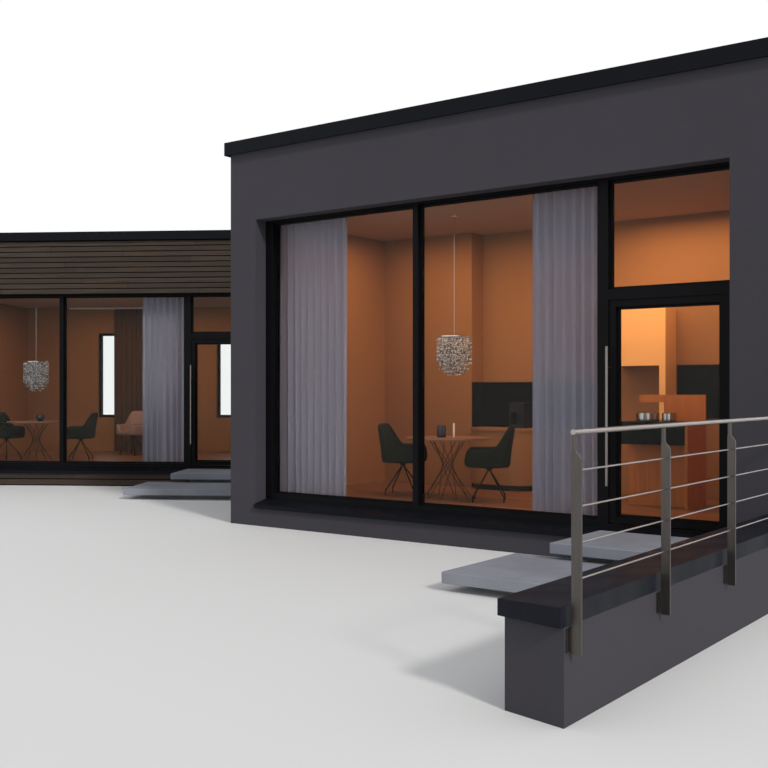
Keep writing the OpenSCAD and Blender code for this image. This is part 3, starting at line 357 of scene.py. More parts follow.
def board_finish(name, light, dark, front, pitch, piece):
    """Weathered boards: each has its own tone, its grain runs along it, and boards are butted end to end."""
    skin = Finish(name)
    x, y, z = skin.axes(skin.turned(front))
    along = skin.math("ADD", x, y)
    row = skin.math("FLOOR", skin.math("DIVIDE", skin.math("SUBTRACT", z, BOARD_FOOT), pitch))
    shift = skin.add("ShaderNodeTexWhiteNoise", {"W": row}, noise_dimensions="1D").outputs[0]
    run = skin.math("DIVIDE", skin.math("MULTIPLY_ADD", shift, piece, along), piece)
    butt = skin.math("LESS_THAN", skin.math("FRACT", run), 0.0015)
    board = skin.joined(row, skin.math("FLOOR", run))
    tone = skin.add("ShaderNodeTexWhiteNoise", {"Vector": board}, noise_dimensions="2D").outputs[0]
    drawn = skin.vector("MULTIPLY", skin.joined(along, y, z), (1.4, 42.0, 46.0))
    drawn = skin.vector("ADD", drawn, skin.joined(skin.math("MULTIPLY", tone, 37.0)))
    grain = skin.noise(1.0, 6.0, 0.62, place=drawn, distortion=0.35)
    fibre = skin.noise(6.0, 3.0, 0.6, place=drawn)
    knots = skin.between(skin.cells(0.55, place=drawn), 0.02, 0.11, 1.0, 0.0)
    wood = skin.mix(skin.between(grain, 0.32, 0.68), opaque(dark), opaque(light))
    wood = skin.mix(skin.between(tone, 0.0, 1.0, 0.0, 0.6), wood, shade(dark, 0.9))
    wood = skin.mix(skin.math("MULTIPLY", knots, 0.7), wood, shade(dark, 0.35))
    wood = skin.mix(butt, wood, shade(dark, 0.1))
    height = skin.math("MULTIPLY_ADD", fibre, 0.4, grain)
    height = skin.math("SUBTRACT", height, skin.math("MULTIPLY", butt, 3.0))
    return skin.on(
        Base_Color=wood,
        Roughness=skin.between(grain, 0.3, 0.7, 0.72, 0.88),
        Specular_IOR_Level=0.25,
        Normal=skin.bump(height, 0.0014),
    )


def plank_floor_finish(name, light, dark):
    """Oiled oak planks in staggered rows, each with its own tone and a fine dark joint."""
    skin = Finish(name)
    planks = skin.add(
        "ShaderNodeTexBrick",
        {
            "Vector": skin.place,
            "Color1": opaque(light), "Color2": opaque(dark), "Mortar": shade(dark, 0.25),
            "Scale": 1.0, "Mortar Size": 0.0016, "Mortar Smooth": 0.1, "Bias": -0.1,
            "Brick Width": 1.8, "Row Height": 0.16,
        },
        offset=0.37,
    )
    grain = skin.noise(1.0, 5.0, 0.6, place=skin.scaled(1.6, 26.0, 26.0), distortion=0.5)
    tone = skin.mix(skin.between(grain, 0.3, 0.7, 0.0, 0.45), planks.outputs["Color"], shade(dark, 0.7))
    height = skin.math("SUBTRACT", skin.math("MULTIPLY", grain, 0.15), planks.outputs["Fac"])
    return skin.on(
        Base_Color=tone,
        Roughness=skin.between(grain, 0.3, 0.7, 0.33, 0.46),
        Normal=skin.bump(height, 0.0012),
    )


def veneer_finish(name, light, dark, roughness, draw=(22.0, 22.0, 1.3), black_below=-1.0):
    """Straight grained veneer, drawn out along one axis; what lies below a level is black."""
    skin = Finish(name)
    grain = skin.noise(1.0, 5.0, 0.6, place=skin.scaled(*draw), distortion=0.6)
    wood = skin.mix(skin.between(grain, 0.3, 0.7), opaque(dark), opaque(light))
    return skin.on(
        Base_Color=skin.mix(skin.below(black_below), wood, BLACK),
        Roughness=roughness,
        Specular_IOR_Level=0.3,
        Normal=skin.bump(grain, 0.0002),
    )


def lacquer_finish(name, colour, roughness, metallic=0.0, gloss=0.3):
    """Sprayed lacquer with a faint peel."""
    skin = Finish(name)
    return skin.on(
        Base_Color=skin.tones(skin.between(skin.noise(2.0, 3.0), 0.3, 0.7), colour, 0.95, 1.04),
        Roughness=roughness,
        Metallic=metallic,
        Specular_IOR_Level=gloss,
        Normal=skin.bump(skin.noise(350.0, 2.0), 0.00004),
    )


def unit_finish(name, upper, lower, split, plinth):
    """Lacquered cabinets: pale cream above a height, the same cream darkened below it as painted shade, and
    black at the plinth.
    """
    skin = lacquer_finish(name, upper, 0.4)
    cloud = skin.between(skin.noise(2.0, 3.0), 0.3, 0.7)
    pale = skin.tones(cloud, upper, 0.95, 1.04)
    # Below the split the coat is the cream darkened as painted shade
    coat = skin.mix(skin.below(split), pale, skin.tones(cloud, lower, 0.92, 1.06))
    return skin.on(Base_Color=skin.mix(skin.below(plinth), coat, BLACK))


def cloth_finish(name, colour, threads, roughness=0.95, alpha=1.0):
    """Woven cloth: two crossing sets of threads in the piece's own UV map, with flecks. Sheer cloth has an
    alpha below 1 and is more open between its threads."""
    skin = Finish(name)
    uv = skin.add("ShaderNodeUVMap", uv_map="weave").outputs[0]
    u, v, _ = skin.axes(uv)
    turns = threads * 2 * math.pi
    warp = skin.math("SINE", skin.math("MULTIPLY", u, turns))
    weft = skin.math("SINE", skin.math("MULTIPLY", v, turns))
    weave = skin.math("MULTIPLY", warp, weft)
    fleck = skin.between(skin.noise(90.0, 3.0, place=uv), 0.3, 0.7)
    if alpha < 1.0:
        skin.on(Alpha=skin.between(weave, -1.0, 1.0, alpha - 0.1, alpha + 0.1))
    return skin.on(
        Base_Color=skin.tones(fleck, colour, 0.72, 1.25),
        Roughness=roughness,
        Specular_IOR_Level=0.15,
        Normal=skin.bump(weave, 0.0006),
    )


def crystal_with_painted_glints(name):
    """Cut crystal, a little clear, with a sharp gloss; near black and white patches in its colour are
    painted reflections and painted glints for the facets' sparkle.
    """
    skin = Finish(name)
    # Patches of near black and of white in the colour: painted reflection and painted highlight on the
    # facets
    cut = skin.between(skin.noise(45.0, 2.0), 0.45, 0.55)
    return skin.on(
        Base_Color=skin.mix(cut, (0.02, 0.03, 0.07, 1), (1, 1, 1, 1)),
        Roughness=0.02,
        IOR=1.55,
        Transmission_Weight=0.15,
        Specular_IOR_Level=1.0,
    )


# Surfaces


def grid_faces(rows, columns, round_columns=False, round_rows=False):
    """Quads of a grid whose points are numbered row by row. A grid that is round in one of its ways joins
    its last row or column to its first."""
    i = np.arange(rows if round_rows else rows - 1)[:, None]
    j = np.arange(columns if round_columns else columns - 1)[None, :]
    below = (i + 1) % rows
    beside = (j + 1) % columns
    a = i * columns + j
    b = i * columns + beside
    c = below * columns + beside
    d = below * columns + j
    return np.stack([a, b, c, d], -1).reshape(-1, 4)


def stand(points, front):
    """Points given along a front's own axes, turned and moved to where the front is."""
    c, s = math.cos(front["turn"]), math.sin(front["turn"])
    x, y, z = points[..., 0], points[..., 1], points[..., 2]
    return np.stack([front["corner"][0] + c * x - s * y, front["corner"][1] + s * x + c * y, z], -1)


def put(name, data):
    """A new object of that data, in the scene."""
    thing = bpy.data.objects.new(name, data)
    bpy.context.scene.collection.objects.link(thing)
    return thing


def make_mesh(name, points, faces, finish):
    """A mesh object at the origin, with its finish."""
    mesh = bpy.data.meshes.new(name)
    mesh.from_pydata(points.reshape(-1, 3).tolist(), [], faces.tolist())
    mesh.materials.append(finish.material)
    return put(name, mesh)


def make_piece(name, points, faces, finish, uv=None, smooth=True):
    """A mesh object that rides on the house."""
    piece = make_mesh(name, points, faces, finish)
    mesh = piece.data
    if uv is not None:
        layer = mesh.uv_layers.new(name="weave")
        corners = np.zeros(len(mesh.loops), np.int32)
        mesh.loops.foreach_get("vertex_index", corners)
        layer.data.foreach_set("uv", uv.reshape(-1, 2)[corners].astype(np.float32).ravel())
    if smooth:
        mesh.shade_smooth()
    mesh.validate()
    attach(piece, "house")
    return piece


def ease(value, low, high):
    """A smooth step from 0 at low to 1 at high."""
    t = np.clip((value - low) / (high - low), 0, 1)
    return t * t * (3 - 2 * t)


def lathe(profile, steps):
    """A profile of radius and height, turned round the z axis; a radius of 0 closes an end."""
    profile = np.array(profile, float)
    turn = np.linspace(0, 2 * np.pi, steps, endpoint=False)
    x = profile[:, 0:1] * np.cos(turn)
    y = profile[:, 0:1] * np.sin(turn)
    z = np.repeat(profile[:, 1:2], steps, 1)
    return np.stack([x, y, z], -1), grid_faces(len(profile), steps, True)


def join_meshes(parts):
    """Several point and face arrays as one pair."""
    points, faces, start = [], [], 0
    for own_points, own_faces in parts:
        flat = own_points.reshape(-1, 3)
        points.append(flat)
        faces.append(own_faces + start)
        start += len(flat)
    return np.concatenate(points), np.concatenate(faces)


def beads(centres, width, heights):
    """At each centre a ring of six points drawn to a point above and below, as high as its own height."""
    sides = 6
    i = np.arange(sides)
    turn = i * 2 * np.pi / sides
    ring = np.stack([np.cos(turn) * width / 2, np.sin(turn) * width / 2, np.zeros(sides)], -1)
    shape = np.concatenate([ring, [[0, 0, 0.5], [0, 0, -0.5]]])
    stretch = np.ones((len(centres), 1, 3))
    stretch[:, 0, 2] = heights
    points = centres[:, None, :] + shape[None] * stretch
    after = (i + 1) % sides
    up = np.stack([i, after, np.full(sides, sides)], -1)
    down = np.stack([after, i, np.full(sides, sides + 1)], -1)
    faces = np.concatenate([up, down])[None] + (np.arange(len(centres)) * len(shape))[:, None, None]
    return points.reshape(-1, 3), faces.reshape(-1, 3)


def close_poles(piece):
    """Welds the points that share a place, at the ends of a round grid, and points the faces outwards."""
    mesh = bmesh.new()
    mesh.from_mesh(piece.data)
    bmesh.ops.remove_doubles(mesh, verts=mesh.verts, dist=1e-5)
    bmesh.ops.recalc_face_normals(mesh, faces=mesh.faces)
    mesh.to_mesh(piece.data)
    mesh.free()


# Settings


class BungalowColours(bpy.types.PropertyGroup):
    """Colours of the bungalow's finishes."""

    render_coat: bpy.props.FloatVectorProperty(
        name="Render", description="Outer walls", default=(0.054, 0.051, 0.061), subtype="COLOR"
    )
    inner_plaster: bpy.props.FloatVectorProperty(
        name="Inner plaster", description="Walls of the rooms",
        default=(0.30, 0.140, 0.055), subtype="COLOR",
    )
    edge_metal: bpy.props.FloatVectorProperty(
        name="Edge metal", description="Roof edges and sills",
        default=(0.005, 0.006, 0.009), subtype="COLOR",
    )
    frame_coat: bpy.props.FloatVectorProperty(
        name="Frames", description="Window frames and doors",
        default=(0.004, 0.004, 0.005), subtype="COLOR",
    )
    glass_tint: bpy.props.FloatVectorProperty(
        name="Glass", description="Tint of the panes", default=(0.93, 0.95, 0.94), subtype="COLOR"
    )
    steel: bpy.props.FloatVectorProperty(
        name="Steel", description="Railing and handles", default=(0.26, 0.235, 0.22), subtype="COLOR"
    )
    slab: bpy.props.FloatVectorProperty(
        name="Slabs", description="Entry slabs", default=(0.27, 0.28, 0.325), subtype="COLOR"
    )
    coping: bpy.props.FloatVectorProperty(
        name="Wall coping", description="Coping of the garden wall",
        default=(0.012, 0.014, 0.020), subtype="COLOR",
    )
    board_light: bpy.props.FloatVectorProperty(
        name="Boards, light", description="Light grain of the boards",
        default=(0.080, 0.057, 0.042), subtype="COLOR",
    )
    board_dark: bpy.props.FloatVectorProperty(
        name="Boards, dark", description="Dark grain of the boards",
        default=(0.030, 0.022, 0.017), subtype="COLOR",
    )
    membrane: bpy.props.FloatVectorProperty(
        name="Roof", description="Roofing sheets", default=(0.11, 0.11, 0.115), subtype="COLOR"
    )
    ceiling: bpy.props.FloatVectorProperty(
        name="Ceilings", description="Plaster of the ceilings",
        default=(0.42, 0.27, 0.17), subtype="COLOR",
    )
    oak_light: bpy.props.FloatVectorProperty(
        name="Floor, light", description="Light planks", default=(0.22, 0.092, 0.042), subtype="COLOR"
    )
    oak_dark: bpy.props.FloatVectorProperty(
        name="Floor, dark", description="Dark planks", default=(0.125, 0.052, 0.024), subtype="COLOR"
    )
    chair: bpy.props.FloatVectorProperty(
        name="Chairs", description="Chair cloth", default=(0.010, 0.013, 0.006), subtype="COLOR"
    )
    pale_chair: bpy.props.FloatVectorProperty(
        name="Pale chair", description="Cloth of the pale chair",
        default=(0.34, 0.22, 0.18), subtype="COLOR",
    )
    sheer: bpy.props.FloatVectorProperty(
        name="Curtains", description="Sheer cloth", default=(0.31, 0.30, 0.38), subtype="COLOR"
    )
    cream: bpy.props.FloatVectorProperty(
        name="Cabinets", description="Cabinet fronts", default=(0.85, 0.45, 0.16), subtype="COLOR"
    )
    # Front of the base unit: the cabinet cream darkened as painted shade
    tan: bpy.props.FloatVectorProperty(
        name="Base unit", description="Front of the base unit",
        default=(0.30, 0.14, 0.055), subtype="COLOR",
    )
    brown_cloth: bpy.props.FloatVectorProperty(
        name="Rear curtain", description="Heavy cloth", default=(0.10, 0.055, 0.035), subtype="COLOR"
    )
    veneer: bpy.props.FloatVectorProperty(
        name="Island", description="Veneer of the island", default=(0.62, 0.19, 0.03), subtype="COLOR"
    )


class BungalowSizes(bpy.types.PropertyGroup):
    """Sizes of what the finishes and soft furnishings repeat."""

    board_pitch: bpy.props.FloatProperty(
        name="Board pitch", description="Height of a board and its gap", default=0.0944, unit="LENGTH"
    )
    board_piece: bpy.props.FloatProperty(
        name="Board length", description="Length of one board", default=3.6, unit="LENGTH"
    )
    fold_pitch: bpy.props.FloatProperty(
        name="Fold pitch", description="Width of one curtain fold", default=0.112, unit="LENGTH"
    )
    fold_depth: bpy.props.FloatProperty(
        name="Fold depth", description="Depth of the curtain folds", default=0.058, unit="LENGTH"
    )
    crystal: bpy.props.FloatProperty(
        name="Crystal", description="Height of one crystal", default=0.034, unit="LENGTH"
    )
    roof_sheet: bpy.props.FloatProperty(
        name="Roofing sheet", description="Width of a roofing sheet", default=1.05, unit="LENGTH"
    )


def colours():
    """The colours that the user has set."""
    return bpy.context.scene.bungalow_colours


def sizes():
    """The sizes that the user has set."""
    return bpy.context.scene.bungalow_sizes


# Operators


class BUNGALOW_OT_walls(bpy.types.Operator):
    """Render on the outer walls and the garden wall, plaster in the rooms, membrane behind the boards"""

    bl_idname = "bungalow.walls"
    bl_label = "Walls"

    def execute(self, context):
        colour = colours()
        plaster = colour.inner_plaster
        sheet = colour.membrane
        dress(
            wall_finish("fine_render", colour.render_coat, plaster, sheet, 110.0, (BLOCK_SPACE, WING_SPACE)),
            "front_left_pier", "front_right_pier", "front_header", "front_plinth",
            "left_wall", "right_wall", "back_wall", "garden_wall",
        )
        dress(
            wall_finish("wall_backing", BLACK, plaster, sheet, 90.0, (WING_SPACE,)),
            "wing_left_pier", "wing_right_pier", "wing_header", "wing_plinth",
            "wing_left_wall", "wing_back_wall",
        )
        dress(wall_finish("room_plaster", plaster, plaster, sheet, 60.0, (BLOCK_SPACE,)), "partition_wall")
        base = concrete_finish("cast_base", (0.32, 0.32, 0.32))
        dress(base, "floor_slab", "wing_floor_slab", "slab_footings")
        dress(concrete_finish("smooth_slab", colour.slab), "entry_slabs")
        dress(polished_stone_finish("dark_coping", colour.coping), "garden_wall_coping")
        return {"FINISHED"}


class BUNGALOW_OT_roof(bpy.types.Operator):
    """Roofing sheets and the dark metal roof edges"""

    bl_idname = "bungalow.roof"
    bl_label = "Roof"

    def execute(self, context):
        colour = colours()
        lap = sizes().roof_sheet
        slabs = (("roof_slab", MAIN, MAIN_CEILING), ("wing_roof_slab", WING, WING_CEILING))
        for node, front, ceiling in slabs:
            sheets = membrane_finish(node + "_sheet", colour.membrane, lap, colour.ceiling, front, ceiling)
            dress(sheets, node)
        metal = coated_metal_finish("edge_metal", colour.edge_metal, 0.4)
        dress(metal, "roof_coping", "wing_coping", "window_sill", "wing_window_sill")
        return {"FINISHED"}


class BUNGALOW_OT_glazing(bpy.types.Operator):
    """Coated frames and door leaves, clear panes and brushed bar handles"""

    bl_idname = "bungalow.glazing"
    bl_label = "Glazing and doors"

    def execute(self, context):
        colour = colours()
        dress(
            coated_metal_finish("frame_coat", colour.frame_coat, 0.45),
            "window_posts", "window_rails", "door_leaf",
            "wing_window_posts", "wing_window_rails", "wing_door_leaf",
            "side_window_frames",
        )
        dress(
            glass_finish("clear_glass", colour.glass_tint),
            "window_glass", "door_glass", "wing_window_glass", "wing_door_glass", "side_window_glass",
        )
        upright = brushed_finish("handle_steel", colour.steel, UPRIGHT)
        dress(upright, "door_handle", "wing_door_handle")
        return {"FINISHED"}


class BUNGALOW_OT_railing(bpy.types.Operator):
    """Brushed steel posts, rods and handrail: the posts are darkened as painted shade, and the rods and
    handrail are lightened, partly as bright real stainless and partly as painted sunlight
    """

    bl_idname = "bungalow.railing"
    bl_label = "Railing"

    def execute(self, context):
        steel = colours().steel
        # The posts carry the railing's steel darkened as painted shade
        dress(brushed_finish("post_steel_painted_shade", shade(steel, 0.45), UPRIGHT), "rail_posts")
        # The rods and handrail carry the same steel lightened, partly as bright real stainless and partly as
        # painted sunlight
        dress(brushed_finish("rail_steel_painted_light", shade(steel, 1.7), ALONG_Y, 0.26), "handrail", "rail_rods")
        return {"FINISHED"}


class BUNGALOW_OT_cladding(bpy.types.Operator):
    """Weathered timber on the wing's boards"""

    bl_idname = "bungalow.cladding"
    bl_label = "Cladding"

    def execute(self, context):
        light, dark = colours().board_light, colours().board_dark
        pitch, piece = sizes().board_pitch, sizes().board_piece
        dress(board_finish("timber_boards", light, dark, WING, pitch, piece), "wing_cladding")
        return {"FINISHED"}


class BUNGALOW_OT_rooms(bpy.types.Operator):
    """Floor planks, kitchen, table and the chairs' legs"""

    bl_idname = "bungalow.rooms"
    bl_label = "Rooms"

    def execute(self, context):
        colour = colours()
        dress(plank_floor_finish("oak_planks", colour.oak_light, colour.oak_dark), "wood_floor")
        split, plinth = ROOM_Z + ISLAND_HEIGHT, ROOM_Z + UNIT_PLINTH
        # The sideboard's lower cabinets get the darkened cream as painted shade
        dress(unit_finish("unit_lacquer_with_painted_shade", colour.cream, colour.tan, split, plinth), "sideboard")
        veneer = colour.veneer
        dress(veneer_finish("island_veneer", veneer, shade(veneer, 0.7), 0.4), "kitchen_island")
        dress(lacquer_finish("black_glass", (0.003, 0.0035, 0.002), 0.22, gloss=0.05), "kitchen_tops")
        wires = ROOM_Z + TABLE_HEIGHT - TABLE_TOP + HAIR
        light, dark = (0.25, 0.12, 0.075), (0.15, 0.068, 0.040)
        dress(veneer_finish("table_veneer", light, dark, 0.42, ALONG_X, wires), "dining_tables")
        dress(lacquer_finish("dark_plastic", (0.010, 0.010, 0.011), 0.45), "coffee_maker")
        dress(coated_metal_finish("black_legs", (0.01, 0.01, 0.01), 0.4), "chair_frames")
        dress(lacquer_finish("white_rail", (0.75, 0.74, 0.72), 0.5), "curtain_rails")
        return {"FINISHED"}


# Chairs

CHAIR_WALL = 0.062
PIPING = 0.0042
# Name, front, table, place beside the table, turn and cloth
CHAIRS = (
    ("chair_left", MAIN, TABLE, (-0.665, -0.030), -68, "chair"),
    ("chair_right", MAIN, TABLE, (0.660, -0.090), 118, "chair"),
    ("wing_chair_near", WING, WING_TABLE, (0.790, 0.220), 100, "chair"),
    ("wing_chair_far", WING, WING_TABLE, (-0.700, 0.260), -110, "chair"),
    ("lounge_chair", WING, WING_TABLE, (1.290, 1.850), 160, "pale_chair"),
)


def shifted(point, offset):
    """A place that is given from another one."""
    return point[0] + offset[0], point[1] + offset[1]


def back_lean(height, behind):
    """How far a chair's back leans out: a share of its height above 0.58 m, and only behind."""
    return 0.17 * np.clip(height - 0.58, 0, None) * ease(behind, 0.4, 0.75)


def chair_surface():
    """A padded bucket that faces +Y, as two parameters: the angle round its plan, a rounded square, and the
    way from the middle of its underside, out and up its outer side, over its rim and down to the seat. The
    rim stands low in front, at arm height at the sides and high behind, and the back leans out."""
    half_width, rear, squareness = 0.298, 0.262, 3.2
    count = 56
    angle = np.linspace(0, 2 * np.pi, count, endpoint=False)
    forward = np.sin(angle)
    deep = np.where(forward > 0, half_width, rear)
    corner = np.abs(np.cos(angle) / half_width) ** squareness + np.abs(forward / deep) ** squareness
    reach = corner ** (-1 / squareness)
    behind = (1 - forward) / 2
    seat = 0.492
    under = 0.413
    front_rim, arms, back = 0.500, 0.138, 0.268
    rim = front_rim + arms * ease(behind, 0.02, 0.11) + back * ease(behind, 0.60, 0.86)
    side = rim - under - 0.05
    inner = reach - CHAIR_WALL
    rows = [
        (0.0, under + 0.012), (reach * 0.55, under + 0.004), (reach - 0.06, under),
        (reach - 0.018, under + 0.008), (reach - 0.003, under + 0.035),
        (reach, under + 0.05 + side * 0.25), (reach + 0.002, under + 0.05 + side * 0.55),
        (reach, rim - 0.035), (reach - 0.006, rim - 0.012), (reach - CHAIR_WALL / 2, rim),
        (inner + 0.006, rim - 0.012), (inner, rim - 0.03),
        (inner - 0.004, seat + 0.03 + (rim - seat - 0.03) * 0.35), (inner - 0.004, seat + 0.018),
        (inner - 0.018, seat + 0.002), (inner - 0.05, seat + 0.012),
        (reach * 0.4, seat + 0.024), (0.0, seat + 0.028),
    ]
    radius = np.stack([np.broadcast_to(r, count) for r, _ in rows])
    height = np.stack([np.broadcast_to(z, count) for _, z in rows])
    x = radius * np.cos(angle)
    y = radius * np.sin(angle) - back_lean(height, behind)
    uv = np.stack([np.broadcast_to(angle * 0.3, radius.shape), height + radius], -1)
    return np.stack([x, y, height], -1), grid_faces(len(rows), count, True), uv, angle, rim, reach


def piping_surface(angle, rim, reach):
    """A thin cord sewn along the middle of the chair's rim: a small ring carried round the rim's line."""
    sides = 8
    radius = reach - CHAIR_WALL / 2
    lean = back_lean(rim, (1 - np.sin(angle)) / 2)
    line = np.stack([radius * np.cos(angle), radius * np.sin(angle) - lean, rim + 0.0015], -1)
    turn = np.linspace(0, 2 * np.pi, sides, endpoint=False)[:, None, None]
    outward = np.stack([np.cos(angle), np.sin(angle), np.zeros_like(angle)], -1)
    ring = outward * np.cos(turn) + np.array([0, 0, 1.0]) * np.sin(turn)
    return line + ring * PIPING, grid_faces(sides, len(angle), True, True)


class BUNGALOW_OT_chairs(bpy.types.Operator):
    """Padded bucket seats on the chairs' legs"""

    bl_idname = "bungalow.chairs"
    bl_label = "Chairs"

    def execute(self, context):
        colour = colours()
        cloths = {
            "chair": cloth_finish("olive_cloth", colour.chair, 420.0),
            "pale_chair": cloth_finish("pale_cloth", colour.pale_chair, 420.0),
        }
        edge = coated_metal_finish("chair_piping", shade(colour.chair, 0.5), 0.7)
        shell, faces, uv, angle, rim, reach = chair_surface()
        cord, cord_faces = piping_surface(angle, rim, reach)
        lift = np.array([0, 0, ROOM_Z])
        for name, front, table, offset, turn, cloth in CHAIRS:
            at = {"corner": shifted(table, offset), "turn": math.radians(turn)}
            points = stand(stand(shell + lift, at), front)
            seat = make_piece(name, points, faces, cloths[cloth], uv)
            close_poles(seat)
            seat.modifiers.new("round", "SUBSURF").levels = 1
            seat.modifiers["round"].render_levels = 1
            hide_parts("dining_chairs")
            points = stand(stand(cord + lift, at), front)
            trim = make_piece(name + "_piping", points, cord_faces, edge)
            close_poles(trim)
        return {"FINISHED"}


# Curtains

# Middle of a curtain behind the wall's inner face, hem above the floor, head below the ceiling, side play
CURTAIN_BACK = 0.105
HEM_GAP = 0.007
HEAD_DROP = 0.0303
SIDE_PLAY = 0.004
# Name, front, both ends along it, whether it hangs at the rear wall, ceiling and cloth
CURTAINS = (
    ("curtain_left", MAIN, 0.375, 1.54, False, MAIN_CEILING, "sheer"),
    ("curtain_right", MAIN, 4.10, 4.88, False, MAIN_CEILING, "sheer"),
    ("wing_curtain", WING, 4.165, 5.09, False, WING_CEILING, "sheer"),
    ("wing_rear_curtain", WING, 2.35, 3.25, True, WING_CEILING, "heavy"),
)


def curtain_surface(x0, x1, y, z0, z1, pitch, depth, seed):
    """Gathered cloth as two parameters, along the rail and down. Its line is a sine across the rail whose
    phase wanders a little from fold to fold and from top to hem, so that the folds lean and vary."""
    folds = max(3, round((x1 - x0) / pitch))
    across = np.linspace(0, 1, folds * 16 + 1)[None, :]
    down = np.linspace(0, 1, 46)[:, None]
    wander = 0.55 * np.sin(2 * np.pi * (2.3 * across + 0.17 * seed))
    wander = wander + 0.35 * np.sin(2 * np.pi * 5.1 * across + seed)
    wander = wander + down * 0.9 * np.sin(2 * np.pi * (1.4 * across + 0.31 * seed))
    phase = 2 * np.pi * folds * across + wander * (0.4 + 0.6 * down)
    swell = 1 - 0.18 * np.sin(2 * np.pi * (3.7 * across + 0.23 * seed)) ** 2
    x = x0 + (x1 - x0) * across + 0.05 * pitch * np.sin(2 * phase) * (0.5 + 0.5 * down)
    fold = y + depth / 2 * swell * np.sin(phase) + 0 * down
    z = z1 + (z0 - z1) * down + 0 * across
    points = np.stack([np.clip(x, x0, x1), fold, z], -1)
    step = np.linalg.norm(np.diff(points, axis=1), axis=-1)
    length = np.concatenate([np.zeros((len(points), 1)), np.cumsum(step, 1)], 1)
    uv = np.stack([length, np.broadcast_to(z, length.shape)], -1)
    return points, grid_faces(*points.shape[:2]), uv, float(length[:, -1].mean())


class BUNGALOW_OT_curtains(bpy.types.Operator):
    """Sheer curtains, gathered on their ceiling rails"""

    bl_idname = "bungalow.curtains"
    bl_label = "Curtains"

    def execute(self, context):
        pitch, depth = sizes().fold_pitch, sizes().fold_depth
        cloths = {
            "sheer": cloth_finish("sheer_cloth", colours().sheer, 900.0, 0.9, alpha=0.9),
            "heavy": cloth_finish("heavy_cloth", colours().brown_cloth, 500.0),
        }
        y = WALL + CURTAIN_BACK
        for seed, (name, front, x0, x1, rear, ceiling, cloth) in enumerate(CURTAINS):
            at = WING_DEPTH - y if rear else y
            x0, x1 = x0 + SIDE_PLAY, x1 - SIDE_PLAY
            hem, head = ROOM_Z + HEM_GAP, ceiling - HEAD_DROP
            points, faces, uv, width = curtain_surface(x0, x1, at, hem, head, pitch, depth, seed + 1.0)
            piece = make_piece(name, stand(points, front), faces, cloths[cloth], uv)
            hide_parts("curtains")
        return {"FINISHED"}


# Chandeliers

# A drum's width at its foot and halfway up its lower part, and the height of that part, as shares
DRUM_FOOT = 0.4
DRUM_BELLY = 0.84
DRUM_TAPER = 0.28
STRING_WIDTH = 0.0014
# Name, front, place, diameter, height of the drum, its underside and the ceiling
CHANDELIERS = (
    ("chandelier", MAIN, LAMP, 0.457, 0.500, 1.881, MAIN_CEILING),
    ("wing_chandelier", WING, WING_TABLE, 0.480, 0.575, 1.675, WING_CEILING),
)


def crystal_strings(diameter, height, low, size):
    """Centres of the crystals of a drum, and the middle and height of each string: strings hang from rings.
    The drum keeps its width above its lower part and draws in below, where each ring's strings end."""
    centres, strings = [], []
    hook, inset = 0.012, 0.014
    top = low + height - hook
    for share in (1.0, DRUM_BELLY, 0.62, DRUM_FOOT):
        radius = diameter / 2 * share - inset
        count = max(5, int(2 * math.pi * radius / (size * 0.9)))
        lift = np.interp(share, (DRUM_FOOT, DRUM_BELLY, 1.0), (0.0, DRUM_TAPER / 2, DRUM_TAPER))
        foot = low + height * lift
        z = np.arange(foot + size / 2, top - size / 2, size * 1.45)
        turn = np.arange(count) * 2 * np.pi / count + share
        ring = np.stack([radius * np.cos(turn), radius * np.sin(turn)], -1)
        centres.append(np.column_stack([np.repeat(ring, len(z), 0), np.tile(z, count)]))
        strings.append(np.column_stack([ring, np.full(count, (top + foot) / 2), np.full(count, top - foot)]))
    return np.concatenate(centres), np.concatenate(strings)


def hoop(radius, top):
    """A flat ring with bevelled edges: its section turned round the drum's axis."""
    section = [
        (radius - 0.008, top - 0.016), (radius, top - 0.014), (radius, top - 0.002),
        (radius - 0.008, top), (radius - 0.010, top - 0.008), (radius - 0.008, top - 0.016),
    ]
    return lathe(section, 48)


def stem(top, ceiling):
    """A hub between the hoops, a thin rod and the rose under the ceiling, turned in one."""
    section = [
        (0, top - 0.016), (0.02, top - 0.016), (0.02, top),
        (0.003, top + 0.012), (0.003, ceiling - 0.032), (0.045, ceiling - 0.025),
        (0.06, ceiling - 0.012), (0.06, ceiling - HAIR), (0, ceiling - HAIR),
    ]
    return lathe(section, 32)


def cross_bar(radius, top, turn):
    """A square bar across the hoops: the eight corners of a box and its six faces."""
    half, side = radius - 0.006, 0.004
    levels = (top - 0.013, top - 0.003)
    corners = np.array([[x, y, z] for x in (-half, half) for y in (-side, side) for z in levels])
    faces = np.array([[0, 1, 3, 2], [4, 6, 7, 5], [0, 4, 5, 1], [2, 3, 7, 6], [0, 2, 6, 4], [1, 5, 7, 3]])
    return stand(corners, {"corner": (0, 0), "turn": math.radians(turn)}), faces


